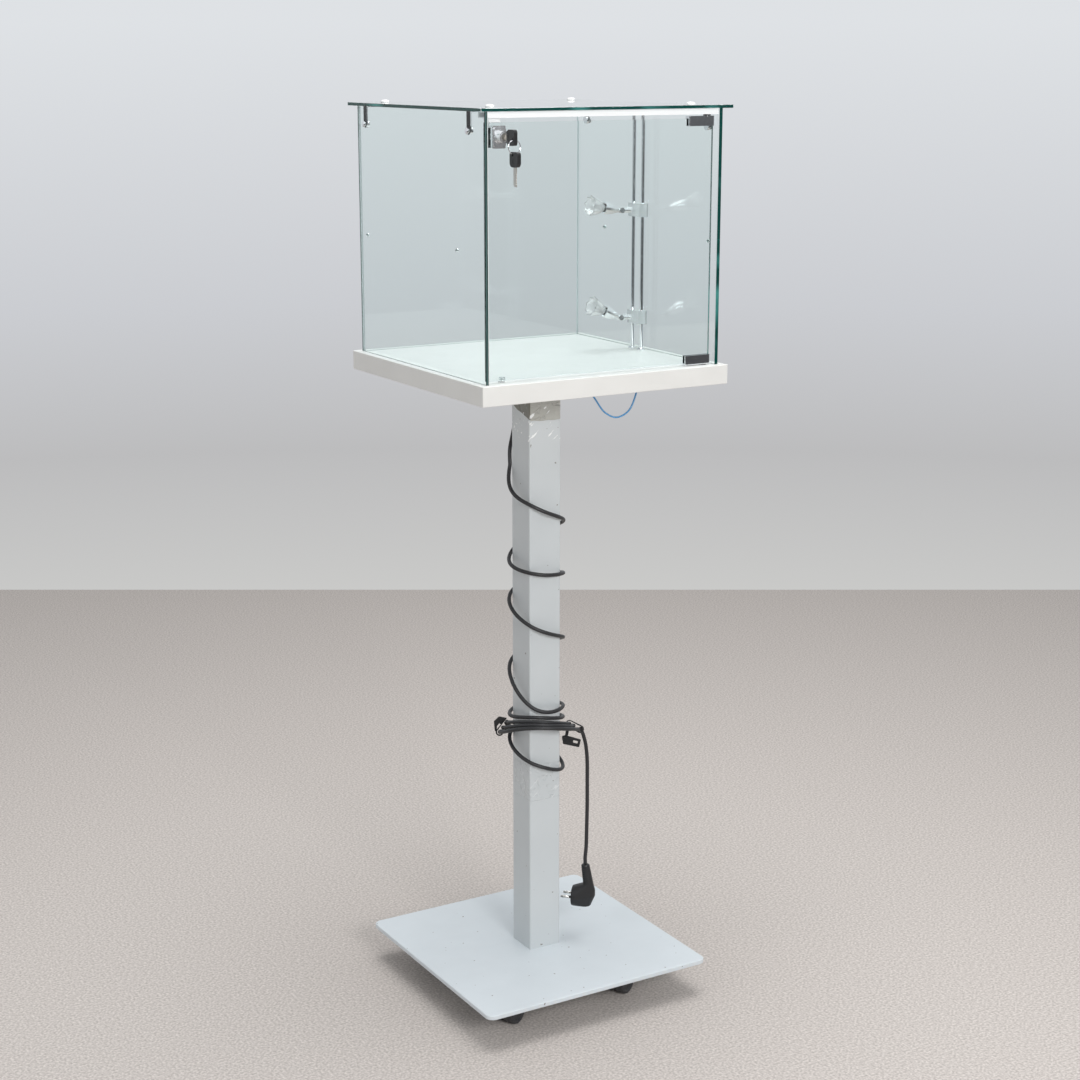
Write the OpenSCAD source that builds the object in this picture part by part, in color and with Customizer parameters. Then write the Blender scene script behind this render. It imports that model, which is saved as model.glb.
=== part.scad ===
// Pedestal display case: a glass case on a square post, with a heavy base plate on four
// twin-wheel casters, a hinged and locked glass door, and two small lamps on a pair of
// low-voltage rods. Millimetres. X runs along the door, Y towards the back, Z up.
// Everything is drawn about the post's axis with the floor at Z = 0.

/* [Base] */
// Width and depth of the base plate
plate_w = 430; // [380:1:445]
// Thickness of the base plate
plate_t = 8; // [6:0.5:14]
// Radius of the base plate's corners
plate_r = 14; // [6:1:30]
// Rounding of the base plate's rim
plate_edge = 1; // [0.5:0.1:2]
// Height of the plate's underside above the floor
caster_h = 60; // [58:0.5:70]
// Distance from the plate's edges to each caster's stem
caster_edge = 105; // [95:1:130]
// Direction in which the casters trail, turned from the left
caster_turn = 30; // [0:5:90]
// Diameter of a caster wheel
wheel_d = 50; // [40:0.5:51]
// Width of one caster wheel
wheel_w = 18.5; // [12:0.5:20]
// Distance from a caster's stem to its axle
caster_trail = 21; // [19:0.5:24]
// Diameter of a caster's stem
stem_d = 10; // [8:0.5:12]

/* [Post] */
// Outer width of the square post
post_w = 60; // [50:1:64]
// Wall of the post
post_wall = 2.5; // [1.5:0.1:4]
// Outer corner radius of the post
post_r = 3; // [1:0.5:5]
// Length of the post
post_h = 1001; // [995:1:1060]
// Width of the head plate on top of the post
head_w = 124; // [110:1:130]
// Thickness of the head plate
head_t = 4; // [3:0.5:6]
// Height of the block inside the post's foot
foot_h = 22; // [18:1:40]

/* [Deck] */
// Width and depth of the deck
deck_w = 450; // [430:1:500]
// How far the deck stands out round the glass case
deck_rim = 12; // [8:0.5:20]
// Thickness of the deck
deck_t = 31; // [28:0.5:40]
// Depth of the grooves that hold the glass
groove_d = 4; // [2:0.5:8]
// Play between a pane and each side of its groove
groove_play = 0.3; // [0.1:0.05:0.6]

/* [Glass] */
// Thickness of the side, back and door panes
pane_t = 6; // [5:0.5:7]
// Height from the deck to the underside of the top pane
case_h = 403; // [380:1:440]
// How far the top pane stands out round the side panes
top_over = 12; // [6:0.5:20]
// Thickness of the top pane
top_t = 5; // [4:0.5:8]
// Height of the shelf-pin holes above the deck
shelf_z = 195; // [120:1:250]
// Diameter of a shelf-pin hole
shelf_d = 6; // [4:0.5:8]
// Distance from the nearer upright edge of a side pane to its shelf-pin hole
shelf_near = 27; // [20:1:40]
// Distance from the other upright edge of a side pane to its shelf-pin hole
shelf_far = 90; // [70:1:120]

/* [Door] */
// Gap between the door's lock edge and the left pane
door_gap_left = 3; // [2:0.5:3]
// Gap between the door's hinge edge and the right pane
door_gap_right = 7; // [6:0.5:10]
// Gap under the door pane
door_gap_low = 4; // [4:0.5:8]
// Gap between the door pane and the underside of the top pane
door_gap_top = 16; // [15.5:0.5:18]
// How far the door's face lies behind the side panes' front edges
door_recess = 7; // [6:0.5:9]
// Length of a hinge body
hinge_l = 48; // [40:1:60]
// Height of a hinge body
hinge_h = 15.4; // [13:0.2:18]
// Thickness of a hinge body
hinge_t = 12; // [11.5:0.5:13]
// Distance from a hinge's outer end to its pivot
hinge_end = 11; // [8:0.5:14]
// Diameter of a hinge pin
pin_d = 6; // [4:0.5:7]
// Height of the header rail
rail_h = 9.5; // [9:0.1:10]
// Depth of the header rail, front to back
rail_d = 22; // [20:1:22]
// Wall of the header rail
rail_wall = 1.6; // [1.2:0.1:2]

/* [Lock] */
// Distance from the door's upright edge to the lock's axis
lock_in = 16; // [15:0.5:22]
// Distance from the door's top edge down to the lock's axis
lock_down = 20.5; // [20:0.5:26]
// Width of the lock case
lock_w = 21.5; // [21:0.5:24]
// Height of the lock case
lock_h = 33; // [31:0.5:34]
// Thickness of the lock case in front of the door
lock_t = 12; // [10:0.5:16]
// Diameter of the lock's barrel
barrel_d = 18; // [17:0.5:20]
// Length of the barrel in front of the case
barrel_l = 12; // [8:0.5:16]
// Diameter of the turning plug
core_d = 12; // [11:0.5:12.5]
// Travel of the bolt for a quarter turn of the key
bolt_travel = 7; // [6:0.5:7.5]

/* [Lights] */
// Diameter of the two rods that carry the lamps
rod_d = 6; // [5:0.5:7]
// Distance between the rods
rod_pitch = 27; // [26:0.5:34]
// Distance from the right pane to the rods' axes
rod_in = 11; // [11:0.5:16]
// Height of the upper lamp's clamp above the deck
upper_z = 233; // [200:1:260]
// Height of the lower lamp's clamp above the deck
lower_z = 55; // [50:1:70]
// Height of a lamp clamp
clamp_h = 22; // [20:0.5:28]
// Length of a lamp's arm, from its clamp to the knuckle
arm_l = 24.5; // [16:0.5:30]
// Diameter of a lamp's arm
arm_d = 9; // [8:0.5:10]
// Diameter of a lamp's reflector
bulb_d = 35; // [30:0.5:40]
// Upward tilt of the upper lamp
upper_tilt = 9; // [0:1:15]
// Upward tilt of the lower lamp
lower_tilt = 22; // [10:1:30]

/* [Cord] */
// Diameter of the mains cord
cord_d = 6.5; // [6:0.1:6.6]
// Diameter of the lamps' leads under the deck
lead_d = 3; // [2:0.1:3.4]

/* [Hidden] */
$fn = 48;

// The origin lies on the floor at the centre of the overall box, which is this far in front
// of the post's axis because the lock and key stand out in front of the deck.
axis_y = 20;
full_turn = 360;

steel_grey = [0.72, 0.76, 0.80];
deck_white = [0.90, 0.89, 0.86];
glass_green = [0.70, 0.86, 0.82, 0.35];
chrome = [0.82, 0.83, 0.85];
zinc = [0.62, 0.63, 0.65];
rail_white = [0.95, 0.95, 0.95];
clear_plastic = [0.88, 0.92, 0.93, 0.5];
black_plastic = [0.09, 0.09, 0.10];
cord_black = [0.07, 0.07, 0.08];
lead_blue = [0.35, 0.62, 0.85];

// Running clearance of a pin in its bore, and the play between pieces that pass each other
fit = 0.05;
play = 0.3;

// Heights
plate_top = caster_h + plate_t;
post_top = plate_top + post_h;
deck_low = post_top + head_t;
deck_top = deck_low + deck_t;
pane_low = deck_top - groove_d;
top_low = deck_top + case_h;
top_top = top_low + top_t;
rail_low = top_low - rail_h;

// The case, measured from the post's axis
case_w = deck_w - 2 * deck_rim;
top_w = case_w + 2 * top_over;
case_o = case_w / 2;
case_i = case_o - pane_t;

// The door and its hinges
door_y = -case_o + door_recess;
door_mid = door_y + pane_t / 2;
door_l = -case_i + door_gap_left;
door_r = case_i - door_gap_right;
door_low = deck_top + door_gap_low;
door_top = top_low - door_gap_top;
pad_t = 0.5;
upper_web = 3.8;
lower_web = 2.4;
hinge_x = door_r + 1 - hinge_end;
hinge_mid = door_r + 1 - hinge_l / 2;
upper_hinge_top = door_top + play + upper_web;
lower_hinge_low = door_low - play - lower_web;
bush_d = 12;
bush_body_d = 8;
bush_depth = 12;
grub_pitch = 26;
grub_d = 5;
pin_l = 6.5;

// The lock: its axis runs along Y
lock_x = door_l + lock_in;
lock_z = door_top - lock_down;
neck_d = 19;
case_y = door_y - 0.3;
barrel_y = case_y - lock_t - barrel_l;
back_y = door_y + pane_t + 0.3;
back_t = 10;
back_wall = 1.5;
back_up = 12.8;
back_h = 29;
lock_screw_d = 2;
lock_screw_out = core_d / 2 + 1.8;
bolt_t = 4;
bolt_w = 8;
bolt_y = back_y + 3.4;
yoke_r = bolt_travel / sqrt(2);
yoke_pin_d = 3;
yoke_play = 0.3;
bolt_top = lock_z + back_up;
keeper_w = 20;
keeper_y = back_y - 0.1 + 0.8;
keeper_d = 10;
keeper_low = bolt_top + 1.4;
pocket_w = 10;
pocket_d = 6;

keyway_l = 24;

// The keys: blade, bow and the hole in the bow's corner
blade_t = 2;
blade_w = 7.2;
blade_l = 28;
key_gap = 9;
bow_l = 22;
bow_w = 23;
bow_t = 6;
bow_hole_d = 4.4;
bow_hole_in = 4;
bow_hole_off = 2.5;
ring_d = 20;
ring_wire = 1.4;
ring_seat = 0.8;
ring_y = barrel_y - key_gap - bow_l + bow_hole_in;
ring_z = lock_z - bow_hole_off - ring_seat - ring_d / 2;

// Distances of the brackets from the nearer edge of the side pane: left front, left back,
// right front and right back
bracket_in = [53, 23, 31, 36];
// Brackets between the side panes and the top pane: [side, distance from the middle along Y]
bracket_places = [[-1, bracket_in[0] - case_o], [-1, case_o - bracket_in[1]],
                  [1, bracket_in[2] - case_o], [1, case_o - bracket_in[3]]];
bracket_w = 12;
bracket_t = 2;
bracket_drop = 29;
bracket_reach = 33;
screw_d = 4;
glass_hole_d = 6;

// The rods and the lamps
rods_x = case_i - rod_in;
lamp_z = [deck_top + upper_z, deck_top + lower_z];
lamp_tilt = [upper_tilt, lower_tilt];
clamp_r = 9;
spigot_d = 7.8;
spigot_l = 6;
knob_d = 11;
knob_l = 6;
knob_screw_d = 4;
knuckle_x = rods_x - clamp_r - arm_l;
tongue_t = 3;
knuckle_pin_d = 3;
head_start = 5;
head_l = 35;
head_d = 20;
holder_l = 2.5;
holder_d = 13;
bulb_l = 25;
bulb_neck_d = 15;
bulb_wall = 1.2;
socket_d = 10;
socket_flange_d = 14;
socket_flange_t = 3;
nipple_d = 5;
nipple_l = 7;

// The transformer under the deck, beside the post
trafo_l = 105;
trafo_w = 38;
trafo_h = 28;
trafo_x = 85;
trafo_y = -8;
trafo_ear = 9;
trafo_ear_t = 2.5;
trafo_screw_y = [trafo_y - trafo_ear / 2, trafo_y + trafo_l + trafo_ear / 2];
gland_l = 24;
gland_z = deck_low - 14;

// Fixings
foot_pitch = 30;
head_edge = 10;
head_pitch = head_w - 2 * head_edge;
bolt_m = 8;
wood_d = 4;
wood_l = 20;
stop_in = 28;
stop_x = door_l + stop_in;
stop_d = 10;
stop_h = 8;
stop_y = door_y + pane_t + play + stop_d / 2;

// Casters: places of the stems, and the way that all four trail
caster_places = [[-1, -1], [1, -1], [-1, 1], [1, 1]];
caster_in = plate_w / 2 - caster_edge;
web_t = 9.4;
web_h = 18;
hub_d = 30;
hood_gap = 0.8;
hood_t = 1.7;
axle_d = 8;
neck_w = 17;
neck_top = caster_h - 10.3;
boss_d = 17;
boss_h = 10;

// The mains cord. Its first stretch runs from the gland to the post, by points chosen by hand.
// Their heights are measured from the deck's underside, so that they move with the deck.
lead_drops = [
  [85, 121, -14], [85, 128, -14], [85, 135, -14], [80, 150, -15], [66, 160, -17], [48, 156, -21],
  [34, 138, -27], [22, 112, -35], [11, 86, -46], [1, 67, -62], [-9, 54, -84],
  [-19, 47, -107], [-27, 41, -128]];
lead_route = [for (p = lead_drops) p + [0, 0, deck_low]];
// Then it winds round the post. Turns are counted from the post's left edge as the case is
// seen from its front left corner, and each pair is the radius and the height a quarter turn on.
// Turns above the bundle spread out when the deck stands higher than drawn_low.
bundle_top = 522;
drawn_low = 1073;
wind_from = -0.05;
wind_to = 8.42;
wind_angle = 149.4;
wind_first = -0.25;
wind_step = 0.25;
wind_table = [
  [46, 1010], [46, 902], [46, 860], [46, 829], [46, 797], [46, 762], [46, 747], [46, 738],
  [46, 719], [46, 692], [46, 652], [46, 625], [46, 600], [46, 570], [46, 510], [46, 503],
  [46, 496], [46, 489], [46, 496], [46, 483], [46, 468], [46, 446], [46, 411], [46, 393],
  [50, 422], [52, 471], [54, 491], [57, 470], [58, 432], [57.5, 463], [61.2, 488],
  [64.5, 466], [66, 436], [63, 455], [68.5, 485], [72, 463], [74, 440]];
rings_per_turn = 24;
// The tail hangs from the bundle to the plug.
tail_route = [
  [60, -44, 462], [69, -34, 458], [77, -30, 444], [83, -29, 422], [85, -30, 395],
  [84, -32, 360], [83, -34, 320], [81, -36, 280], [79, -38, 245], [77, -38, 222],
  [77, -38, 215], [77, -38, 208]];
// The lamps' two leads, from the transformer to the rods, with heights from the deck's underside
blue_drops = [
  [85, -8, -15], [85, -11, -15], [85, -14, -15], [88, -20, -20], [96, -18, -33], [108, -14, -48],
  [126, -13, -70], [150, -13, -81], [174, -13, -72], [187, -13, -49]];
black_drops = [
  [95, -8, -15], [95, -11, -15], [95, -14, -15], [100, -20, -20], [112, -20, -27], [130, -13, -35],
  [152, -3, -40], [172, 6, -40], [187, 11, -33]];
blue_route = [for (p = concat(blue_drops, lead_end(-1))) p + [0, 0, deck_low]];
black_route = [for (p = concat(black_drops, lead_end(1))) p + [0, 0, deck_low]];

// The two straps round the bundle: radius and height of the first and the last cord in each,
// and the slope at which the cords pass through it. Each strap ends in a flat tab: the left
// one is an open loop, and the right one hangs by a link and has a slot.
strap_w = 10;
strap_t = 1.4;
strap_gap = 1.2;
left_strap = [[51.7, 470.3], [63, 455.1], 18];
right_strap = [[57, 470], [75.3, 460.3], -15.5];
tab_t = 2.4;
left_tab = [[50, 480], [64, 483], [73, 474], [71.2, 455.5], [67.9, 457.5], [67.4, 466],
            [63.5, 470.5], [59.8, 468.2], [56, 473.5]];
right_tab = [[44, 447], [50, 449], [77, 441], [74, 427], [46, 433]];
right_slot = [[64, 440], [72, 438], [71, 433.5], [63, 435.5]];
right_link = [[52.5, 467.3], [58, 464], [54, 446], [49, 446]];

// The angled plug hangs with its pins level, pointing this way
plug_turn = 135.5;
plug_top = tail_route[len(tail_route) - 1];
plug_face_d = 37;
plug_face_t = 8;
plug_mid = [22.5, 0, -60];
plug_neck_d = 14;
plug_neck_l = 37;
plug_pin_d = 4.8;
plug_pin_l = 19;
plug_pin_pitch = 19;

plug_heel_d = 20;

// ---- Helpers ----

module place() translate([0, axis_y, 0]) children();

// A rectangle with round corners
module round_rect(w, d, r) {
  square([w - 2 * r, d], center = true);
  square([w, d - 2 * r], center = true);
  for (x = [-1, 1], y = [-1, 1])
    translate([x * (w / 2 - r), y * (d / 2 - r)]) circle(r);
}

// A rectangle with cut corners
module cut_rect(w, d, c)
  polygon([[-w / 2 + c, -d / 2], [w / 2 - c, -d / 2], [w / 2, -d / 2 + c], [w / 2, d / 2 - c],
           [w / 2 - c, d / 2], [-w / 2 + c, d / 2], [-w / 2, d / 2 - c], [-w / 2, -d / 2 + c]]);

// A block with every edge cut, standing on Z = 0
module cut_block(w, d, h, c) intersection() {
  linear_extrude(h) cut_rect(w, d, c);
  translate([0, d / 2, h / 2]) rotate([90, 0, 0]) linear_extrude(d) cut_rect(w, h, c);
  translate([-w / 2, 0, h / 2]) rotate([90, 0, 90]) linear_extrude(w) cut_rect(d, h, c);
}

// A cylinder along +Y or +X from a point
module rod_y(d, l) rotate([-90, 0, 0]) cylinder(d = d, h = l);
module rod_x(d, l) rotate([0, 90, 0]) cylinder(d = d, h = l);

function unit(v) = v / norm(v);
function tangent(p, i) = unit(p[min(i + 1, len(p) - 1)] - p[max(i - 1, 0)]);
function square_to(u, t) = unit(u - (u * t) * t);

// A smooth curve through hand-chosen points, with extra rings between each two
function curve(p, k) = [
  for (i = [0 : len(p) - 2], s = [0 : k - 1])
    let (a = p[max(i - 1, 0)], b = p[i], c = p[i + 1], d = p[min(i + 2, len(p) - 1)], t = s / k)
    0.5 * (2 * b + (c - a) * t + (2 * a - 5 * b + 4 * c - d) * t * t
           + (3 * b - 3 * c + d - a) * t * t * t),
  p[len(p) - 1]];

// The side direction at every ring of a route, turned as little as it can be
function sides_of(p, first) = [
  for (i = 0, u = square_to(first, tangent(p, 0)); i < len(p);
       i = i + 1, u = i < len(p) ? square_to(u, tangent(p, i)) : u) u];

// A closed tube through the rings from number a to number b of a route
module tube(p, dirs, d, n, a, b) {
  rings = b - a + 1;
  points = [for (i = [a : b], k = [0 : n - 1])
    let (u = dirs[i], v = cross(tangent(p, i), u), w = full_turn * k / n)
    p[i] + d / 2 * (cos(w) * u + sin(w) * v)];
  faces = [for (i = [0 : rings - 2], k = [0 : n - 1], half = [0, 1])
    let (q = i * n, m = (k + 1) % n)
    half == 0 ? [q + k, q + n + k, q + n + m] : [q + k, q + n + m, q + m]];
  start = [for (k = [1 : n - 2]) [0, k, k + 1]];
  end = [for (k = [1 : n - 2]) let (q = (rings - 1) * n) [q, q + k + 1, q + k]];
  polyhedron(points, concat(faces, start, end));
}

function route_length(p) = len(p) < 2 ? 0 : [
  for (i = 1, s = norm(p[1] - p[0]); i < len(p);
       i = i + 1, s = i < len(p) ? s + norm(p[i] - p[i - 1]) : s) s][len(p) - 2];

// ---- Base and post ----

// A caster's place, turned so that it trails towards its own -X
module caster_at(p) translate([p[0] * caster_in, p[1] * caster_in, 0]) rotate([0, 0, caster_turn])
  children();

module base_plate() color(steel_grey) difference() {
  translate([0, 0, caster_h]) hull() {
    linear_extrude(plate_t) round_rect(plate_w - 2 * plate_edge, plate_w - 2 * plate_edge,
                                       plate_r - plate_edge);
    translate([0, 0, plate_edge]) linear_extrude(plate_t - 2 * plate_edge)
      round_rect(plate_w, plate_w, plate_r);
  }
  for (x = [-1, 1], y = [-1, 1]) translate([x, y, 0] * foot_pitch / 2) {
    translate([0, 0, caster_h - 1]) cylinder(d = bolt_m + 1, h = plate_t + 2);
    translate([0, 0, caster_h - 0.01])
      cylinder(d1 = 2 * bolt_m + 0.4, d2 = bolt_m, h = bolt_m / 2 + 0.2);
  }
}

module post() color(steel_grey) translate([0, 0, plate_top]) linear_extrude(post_h)
  difference() {
    round_rect(post_w, post_w, post_r);
    round_rect(post_w - 2 * post_wall, post_w - 2 * post_wall, max(post_r - post_wall, 0.5));
  }

module post_foot() color(zinc) difference() {
  translate([0, 0, plate_top]) linear_extrude(foot_h)
    round_rect(post_w - 2 * post_wall - 0.2, post_w - 2 * post_wall - 0.2, 1);
  for (x = [-1, 1], y = [-1, 1]) translate([x * foot_pitch / 2, y * foot_pitch / 2, 0])
    translate([0, 0, plate_top - 1]) cylinder(d = bolt_m + 2 * fit, h = foot_h + 2);
}

module post_head() color(steel_grey) difference() {
  translate([0, 0, post_top]) linear_extrude(head_t) round_rect(head_w, head_w, 8);
  head_holes() translate([0, 0, post_top - 1]) cylinder(d = wood_d + 1, h = head_t + 2);
}

module head_holes() for (x = [-1, 1], y = [-1, 1])
  translate([x, y, 0] * head_pitch / 2) children();

// Foot bolts, and the wood screws that hold the head plate, the transformer and the door stop
module wood_screw(l) {
  cylinder(d = wood_d, h = l);
  rotate_extrude() polygon([[0, -2.2], [2.6, -2.2], [3.8, -1], [4, 0], [0, 0]]);
}

module fixing_screws() color(zinc) {
  for (x = [-1, 1], y = [-1, 1]) translate([x * foot_pitch / 2, y * foot_pitch / 2, caster_h]) {
    difference() {
      cylinder(d1 = 2 * bolt_m, d2 = bolt_m, h = bolt_m / 2);
      translate([0, 0, -1]) cylinder(d = 5, h = 3, $fn = 6);
    }
    cylinder(d = bolt_m, h = plate_t + foot_h - 4);
  }
  head_holes() translate([0, 0, post_top]) wood_screw(wood_l);
  for (y = trafo_screw_y) translate([trafo_x, y, deck_low - trafo_ear_t]) wood_screw(wood_l - 4);
  translate([stop_x, stop_y, deck_top + stop_h]) mirror([0, 0, 1]) {
    cylinder(d = wood_d, h = stop_h + 12);
    cylinder(d1 = 7, d2 = wood_d, h = 2);
  }
}

module caster_sockets() color(zinc) for (p = caster_places) caster_at(p) difference() {
  translate([0, 0, caster_h - boss_h]) cylinder(d = boss_d, h = boss_h);
  translate([0, 0, caster_h - boss_h - 1]) cylinder(d = stem_d + 2 * fit, h = boss_h + 1.01);
}

// One caster: stem, neck, web and hood, drawn about its stem
module caster(p) color(black_plastic) caster_at(p) {
  translate([0, 0, neck_top - 2]) cylinder(d = stem_d, h = caster_h - neck_top + 1.5);
  difference() {
    union() {
      translate([0, 0, wheel_d / 2 + 8]) cylinder(d = neck_w, h = neck_top - wheel_d / 2 - 8);
      translate([-caster_trail, -web_t / 2, wheel_d / 2]) rod_y(hub_d, web_t);
      translate([-caster_trail, -web_t / 2, wheel_d / 2 - 4])
        cube([caster_trail + neck_w / 2, web_t, web_h]);
      hood();
    }
    translate([-caster_trail, -web_t, wheel_d / 2]) rod_y(axle_d + 2 * fit, 2 * web_t);
    for (side = [-1, 1]) translate([-caster_trail, 0, wheel_d / 2])
      rotate([side * 90, 0, 0]) translate([0, 0, web_t / 2])
        cylinder(d = wheel_d + 2 * hood_gap, h = wheel_w + 1);
  }
}

// The curved hood over both wheels
module hood() {
  total = web_t + 2 * wheel_w + 1.6;
  inner = wheel_d / 2 + hood_gap;
  translate([-caster_trail, -total / 2, wheel_d / 2]) difference() {
    rod_y(2 * (inner + hood_t), total);
    translate([0, -1, 0]) rod_y(2 * inner, total / 2 - web_t / 2 + 1);
    translate([0, total / 2 + web_t / 2, 0]) rod_y(2 * inner, total);
    translate([-wheel_d, -1, -wheel_d]) cube([2 * wheel_d, total + 2, wheel_d + 2]);
    translate([caster_trail - neck_w, -1, 0]) rotate([0, -10, 0])
      translate([neck_w * 0.9, 0, -5]) cube([wheel_d, total + 2, wheel_d]);
  }
}

// Twin wheels on their axle
module wheels(p) color([0.16, 0.16, 0.17]) caster_at(p) translate([-caster_trail, 0, wheel_d / 2])
  rotate([90, 0, 0]) union() {
    cylinder(d = axle_d, h = web_t + 2 * wheel_w, center = true);
    for (side = [0, 1]) mirror([0, 0, side]) translate([0, 0, web_t / 2 + 0.4])
      rotate_extrude() wheel_section();
  }

// Half section of a wheel: round tread, dished outer face and a hub cap
module wheel_section() {
  r = wheel_d / 2;
  w = wheel_w;
  polygon([[0, 0], [r - 1.5, 0], [r, 1.5], [r, w - 3], [r - 0.9, w - 0.9], [r - 3, w],
           [r - 5, w], [r - 7, w - 2.5], [8, w - 2.5], [7, w - 1], [0, w - 0.6]]);
}

// ---- Deck and glass ----

module deck() color(deck_white) difference() {
  translate([0, 0, deck_low]) cut_block(deck_w, deck_w, deck_t, 0.8);
  groove = pane_t + 2 * groove_play;
  for (side = [-1, 1])
    translate([side * (case_o - pane_t / 2) - groove / 2, -case_o - groove_play, pane_low])
      cube([groove, case_w + 2 * groove_play, groove_d + 1]);
  translate([-case_i, case_i - groove_play, pane_low]) cube([2 * case_i, groove, groove_d + 1]);
  head_holes() translate([0, 0, deck_low - 1]) cylinder(d = wood_d + 2 * fit, h = wood_l + 2 - head_t);
  for (y = trafo_screw_y)
    translate([trafo_x, y, deck_low - 1]) cylinder(d = wood_d + 2 * fit, h = wood_l - 4);
  translate([stop_x, stop_y, deck_top - 13]) cylinder(d = wood_d + 2 * fit, h = 14);
  translate([hinge_x, door_mid, deck_top - bush_depth])
    cylinder(d = bush_body_d + 2 * fit, h = bush_depth + 1);
  for (side = [-1, 1]) translate([rods_x, side * rod_pitch / 2, deck_low - 1])
    cylinder(d = socket_d + 2 * fit, h = deck_t + 2);
}

// A side pane, standing in its groove. Both sides are one pattern of pane, turned about.
module side_glass(side) color(glass_green) difference() {
  translate([side * case_o - (side > 0 ? pane_t : 0), -case_o, pane_low])
    cube([pane_t, case_w, top_low - pane_low]);
  for (y = shelf_holes(side)) translate([side * case_i - pane_t - 1, y, deck_top + shelf_z])
    rod_x(shelf_d, 2 * pane_t + 2);
  for (b = bracket_places) if (b[0] == side)
    translate([side * case_i - pane_t - 1, b[1], top_low - bracket_drop])
      rod_x(glass_hole_d, 2 * pane_t + 2);
}

function shelf_holes(side) = side < 0
  ? [-case_o + shelf_far, case_o - shelf_near]
  : [-case_o + shelf_near, case_o - shelf_far];

module left_glass() side_glass(-1);
module right_glass() side_glass(1);

module back_glass() color(glass_green) translate([-case_i, case_i, pane_low])
  cube([2 * case_i, pane_t, top_low - pane_low]);

module top_glass() color(glass_green) difference() {
  translate([0, 0, top_low]) cut_block(top_w, top_w, top_t, 0.5);
  for (b = bracket_places) translate([bracket_x(b), b[1], top_low - 1])
    cylinder(d = glass_hole_d, h = top_t + 2);
}

function bracket_x(b) = b[0] * (case_i - bracket_reach);

// Angle brackets that tie each side pane to the top pane
module top_brackets() color(chrome) for (b = bracket_places)
  translate([b[0] * case_i, b[1], top_low]) scale([b[0], 1, 1]) bracket();

module bracket() difference() {
  union() {
    translate([-bracket_t, -bracket_w / 2, -bracket_drop]) cube([bracket_t, bracket_w, bracket_drop]);
    translate([-bracket_reach, -bracket_w / 2, -bracket_t]) cube([bracket_reach, bracket_w, bracket_t]);
    translate([-bracket_reach, 0, -bracket_t]) cylinder(d = bracket_w, h = bracket_t);
    translate([-bracket_t - 3, 0, -bracket_drop]) rod_x(bracket_w, bracket_t + 3);
  }
  translate([-bracket_reach, 0, -bracket_t - 1]) cylinder(d = screw_d + 2 * fit, h = bracket_t + 2);
  translate([-bracket_t - 4, 0, -bracket_drop]) rod_x(screw_d + 2 * fit, bracket_t + 6);
}

// Screws through the side panes and through the top pane, into the brackets
module bracket_screws() color(chrome) for (b = bracket_places) {
  translate([b[0] * case_i, b[1], top_low - bracket_drop]) scale([b[0], 1, 1]) {
    translate([-bracket_t - 3, 0, 0]) rod_x(screw_d, bracket_t + 3 + pane_t + 1);
    translate([pane_t, 0, 0]) rotate([0, 90, 0])
      rotate_extrude() polygon([[0, 0], [5, 0], [5, 0.8], [3.4, 2], [0, 2.3]]);
  }
  translate([bracket_x(b), b[1], top_low - bracket_t]) {
    cylinder(d = screw_d, h = bracket_t + top_t + 1);
    translate([0, 0, bracket_t + top_t])
      rotate_extrude() polygon([[0, 0], [4, 0], [3.8, 1.2], [2.6, 2], [0, 2.2]]);
  }
}

// Domed caps over the heads of the top screws
module top_caps() color(rail_white) for (b = bracket_places)
  translate([bracket_x(b), b[1], top_top]) difference() {
    rotate_extrude()
      polygon([[0, 0], [7, 0], [7, 1.2], [6.3, 2.6], [4.6, 3.6], [2.4, 4], [0, 4.1]]);
    translate([0, 0, -1]) cylinder(d = 8.6, h = 3.5);
  }

module header_rail() color(rail_white) difference() {
  translate([-case_i + play, -case_o + 2, rail_low]) difference() {
    cube([2 * (case_i - play), rail_d, rail_h]);
    translate([-1, rail_wall, rail_wall])
      cube([2 * case_i, rail_d - 2 * rail_wall, rail_h - 2 * rail_wall]);
  }
  translate([hinge_x, door_mid, rail_low - 1]) cylinder(d = bush_body_d + 2 * fit, h = rail_wall + 2);
}

// The strike that hangs from the header rail, with a pocket for the bolt
module keeper() color(rail_white) difference() {
  translate([lock_x, keeper_y + keeper_d / 2, keeper_low])
    cut_block(keeper_w, keeper_d, rail_low - keeper_low, 0.5);
  translate([lock_x - pocket_w / 2, bolt_y + bolt_t / 2 - pocket_d / 2, keeper_low - 1])
    cube([pocket_w, pocket_d, rail_low - keeper_low - 0.6]);
}

module door_stop() color(clear_plastic) difference() {
  translate([stop_x, stop_y, deck_top]) rotate_extrude()
    polygon([[0, 0], [stop_d / 2, 0], [stop_d / 2, stop_h - 1], [stop_d / 2 - 1, stop_h], [0, stop_h]]);
  translate([stop_x, stop_y, deck_top - 1]) cylinder(d = wood_d + 0.4, h = stop_h + 2);
  translate([stop_x, stop_y, deck_top + stop_h - 2.2]) cylinder(d1 = wood_d, d2 = 7.6, h = 2.3);
}

// Flanged bushes for the hinge pins, one in the header rail and one in the deck
module pivot_bushes() color(black_plastic) {
  translate([hinge_x, door_mid, 0]) {
    difference() {
      union() {
        translate([0, 0, upper_hinge_top + 0.2])
          cylinder(d = bush_d, h = rail_low - upper_hinge_top - 0.2);
        translate([0, 0, rail_low]) cylinder(d = bush_body_d, h = 6);
      }
      translate([0, 0, upper_hinge_top]) cylinder(d = pin_d + 2 * fit, h = 8);
    }
    difference() {
      union() {
        translate([0, 0, deck_top]) cylinder(d = bush_d, h = lower_hinge_low - deck_top - 0.2);
        translate([0, 0, deck_top - bush_depth]) cylinder(d = bush_body_d, h = bush_depth);
      }
      translate([0, 0, deck_top - bush_depth + 1]) cylinder(d = pin_d + 2 * fit, h = bush_depth + 8);
    }
  }
}

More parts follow.
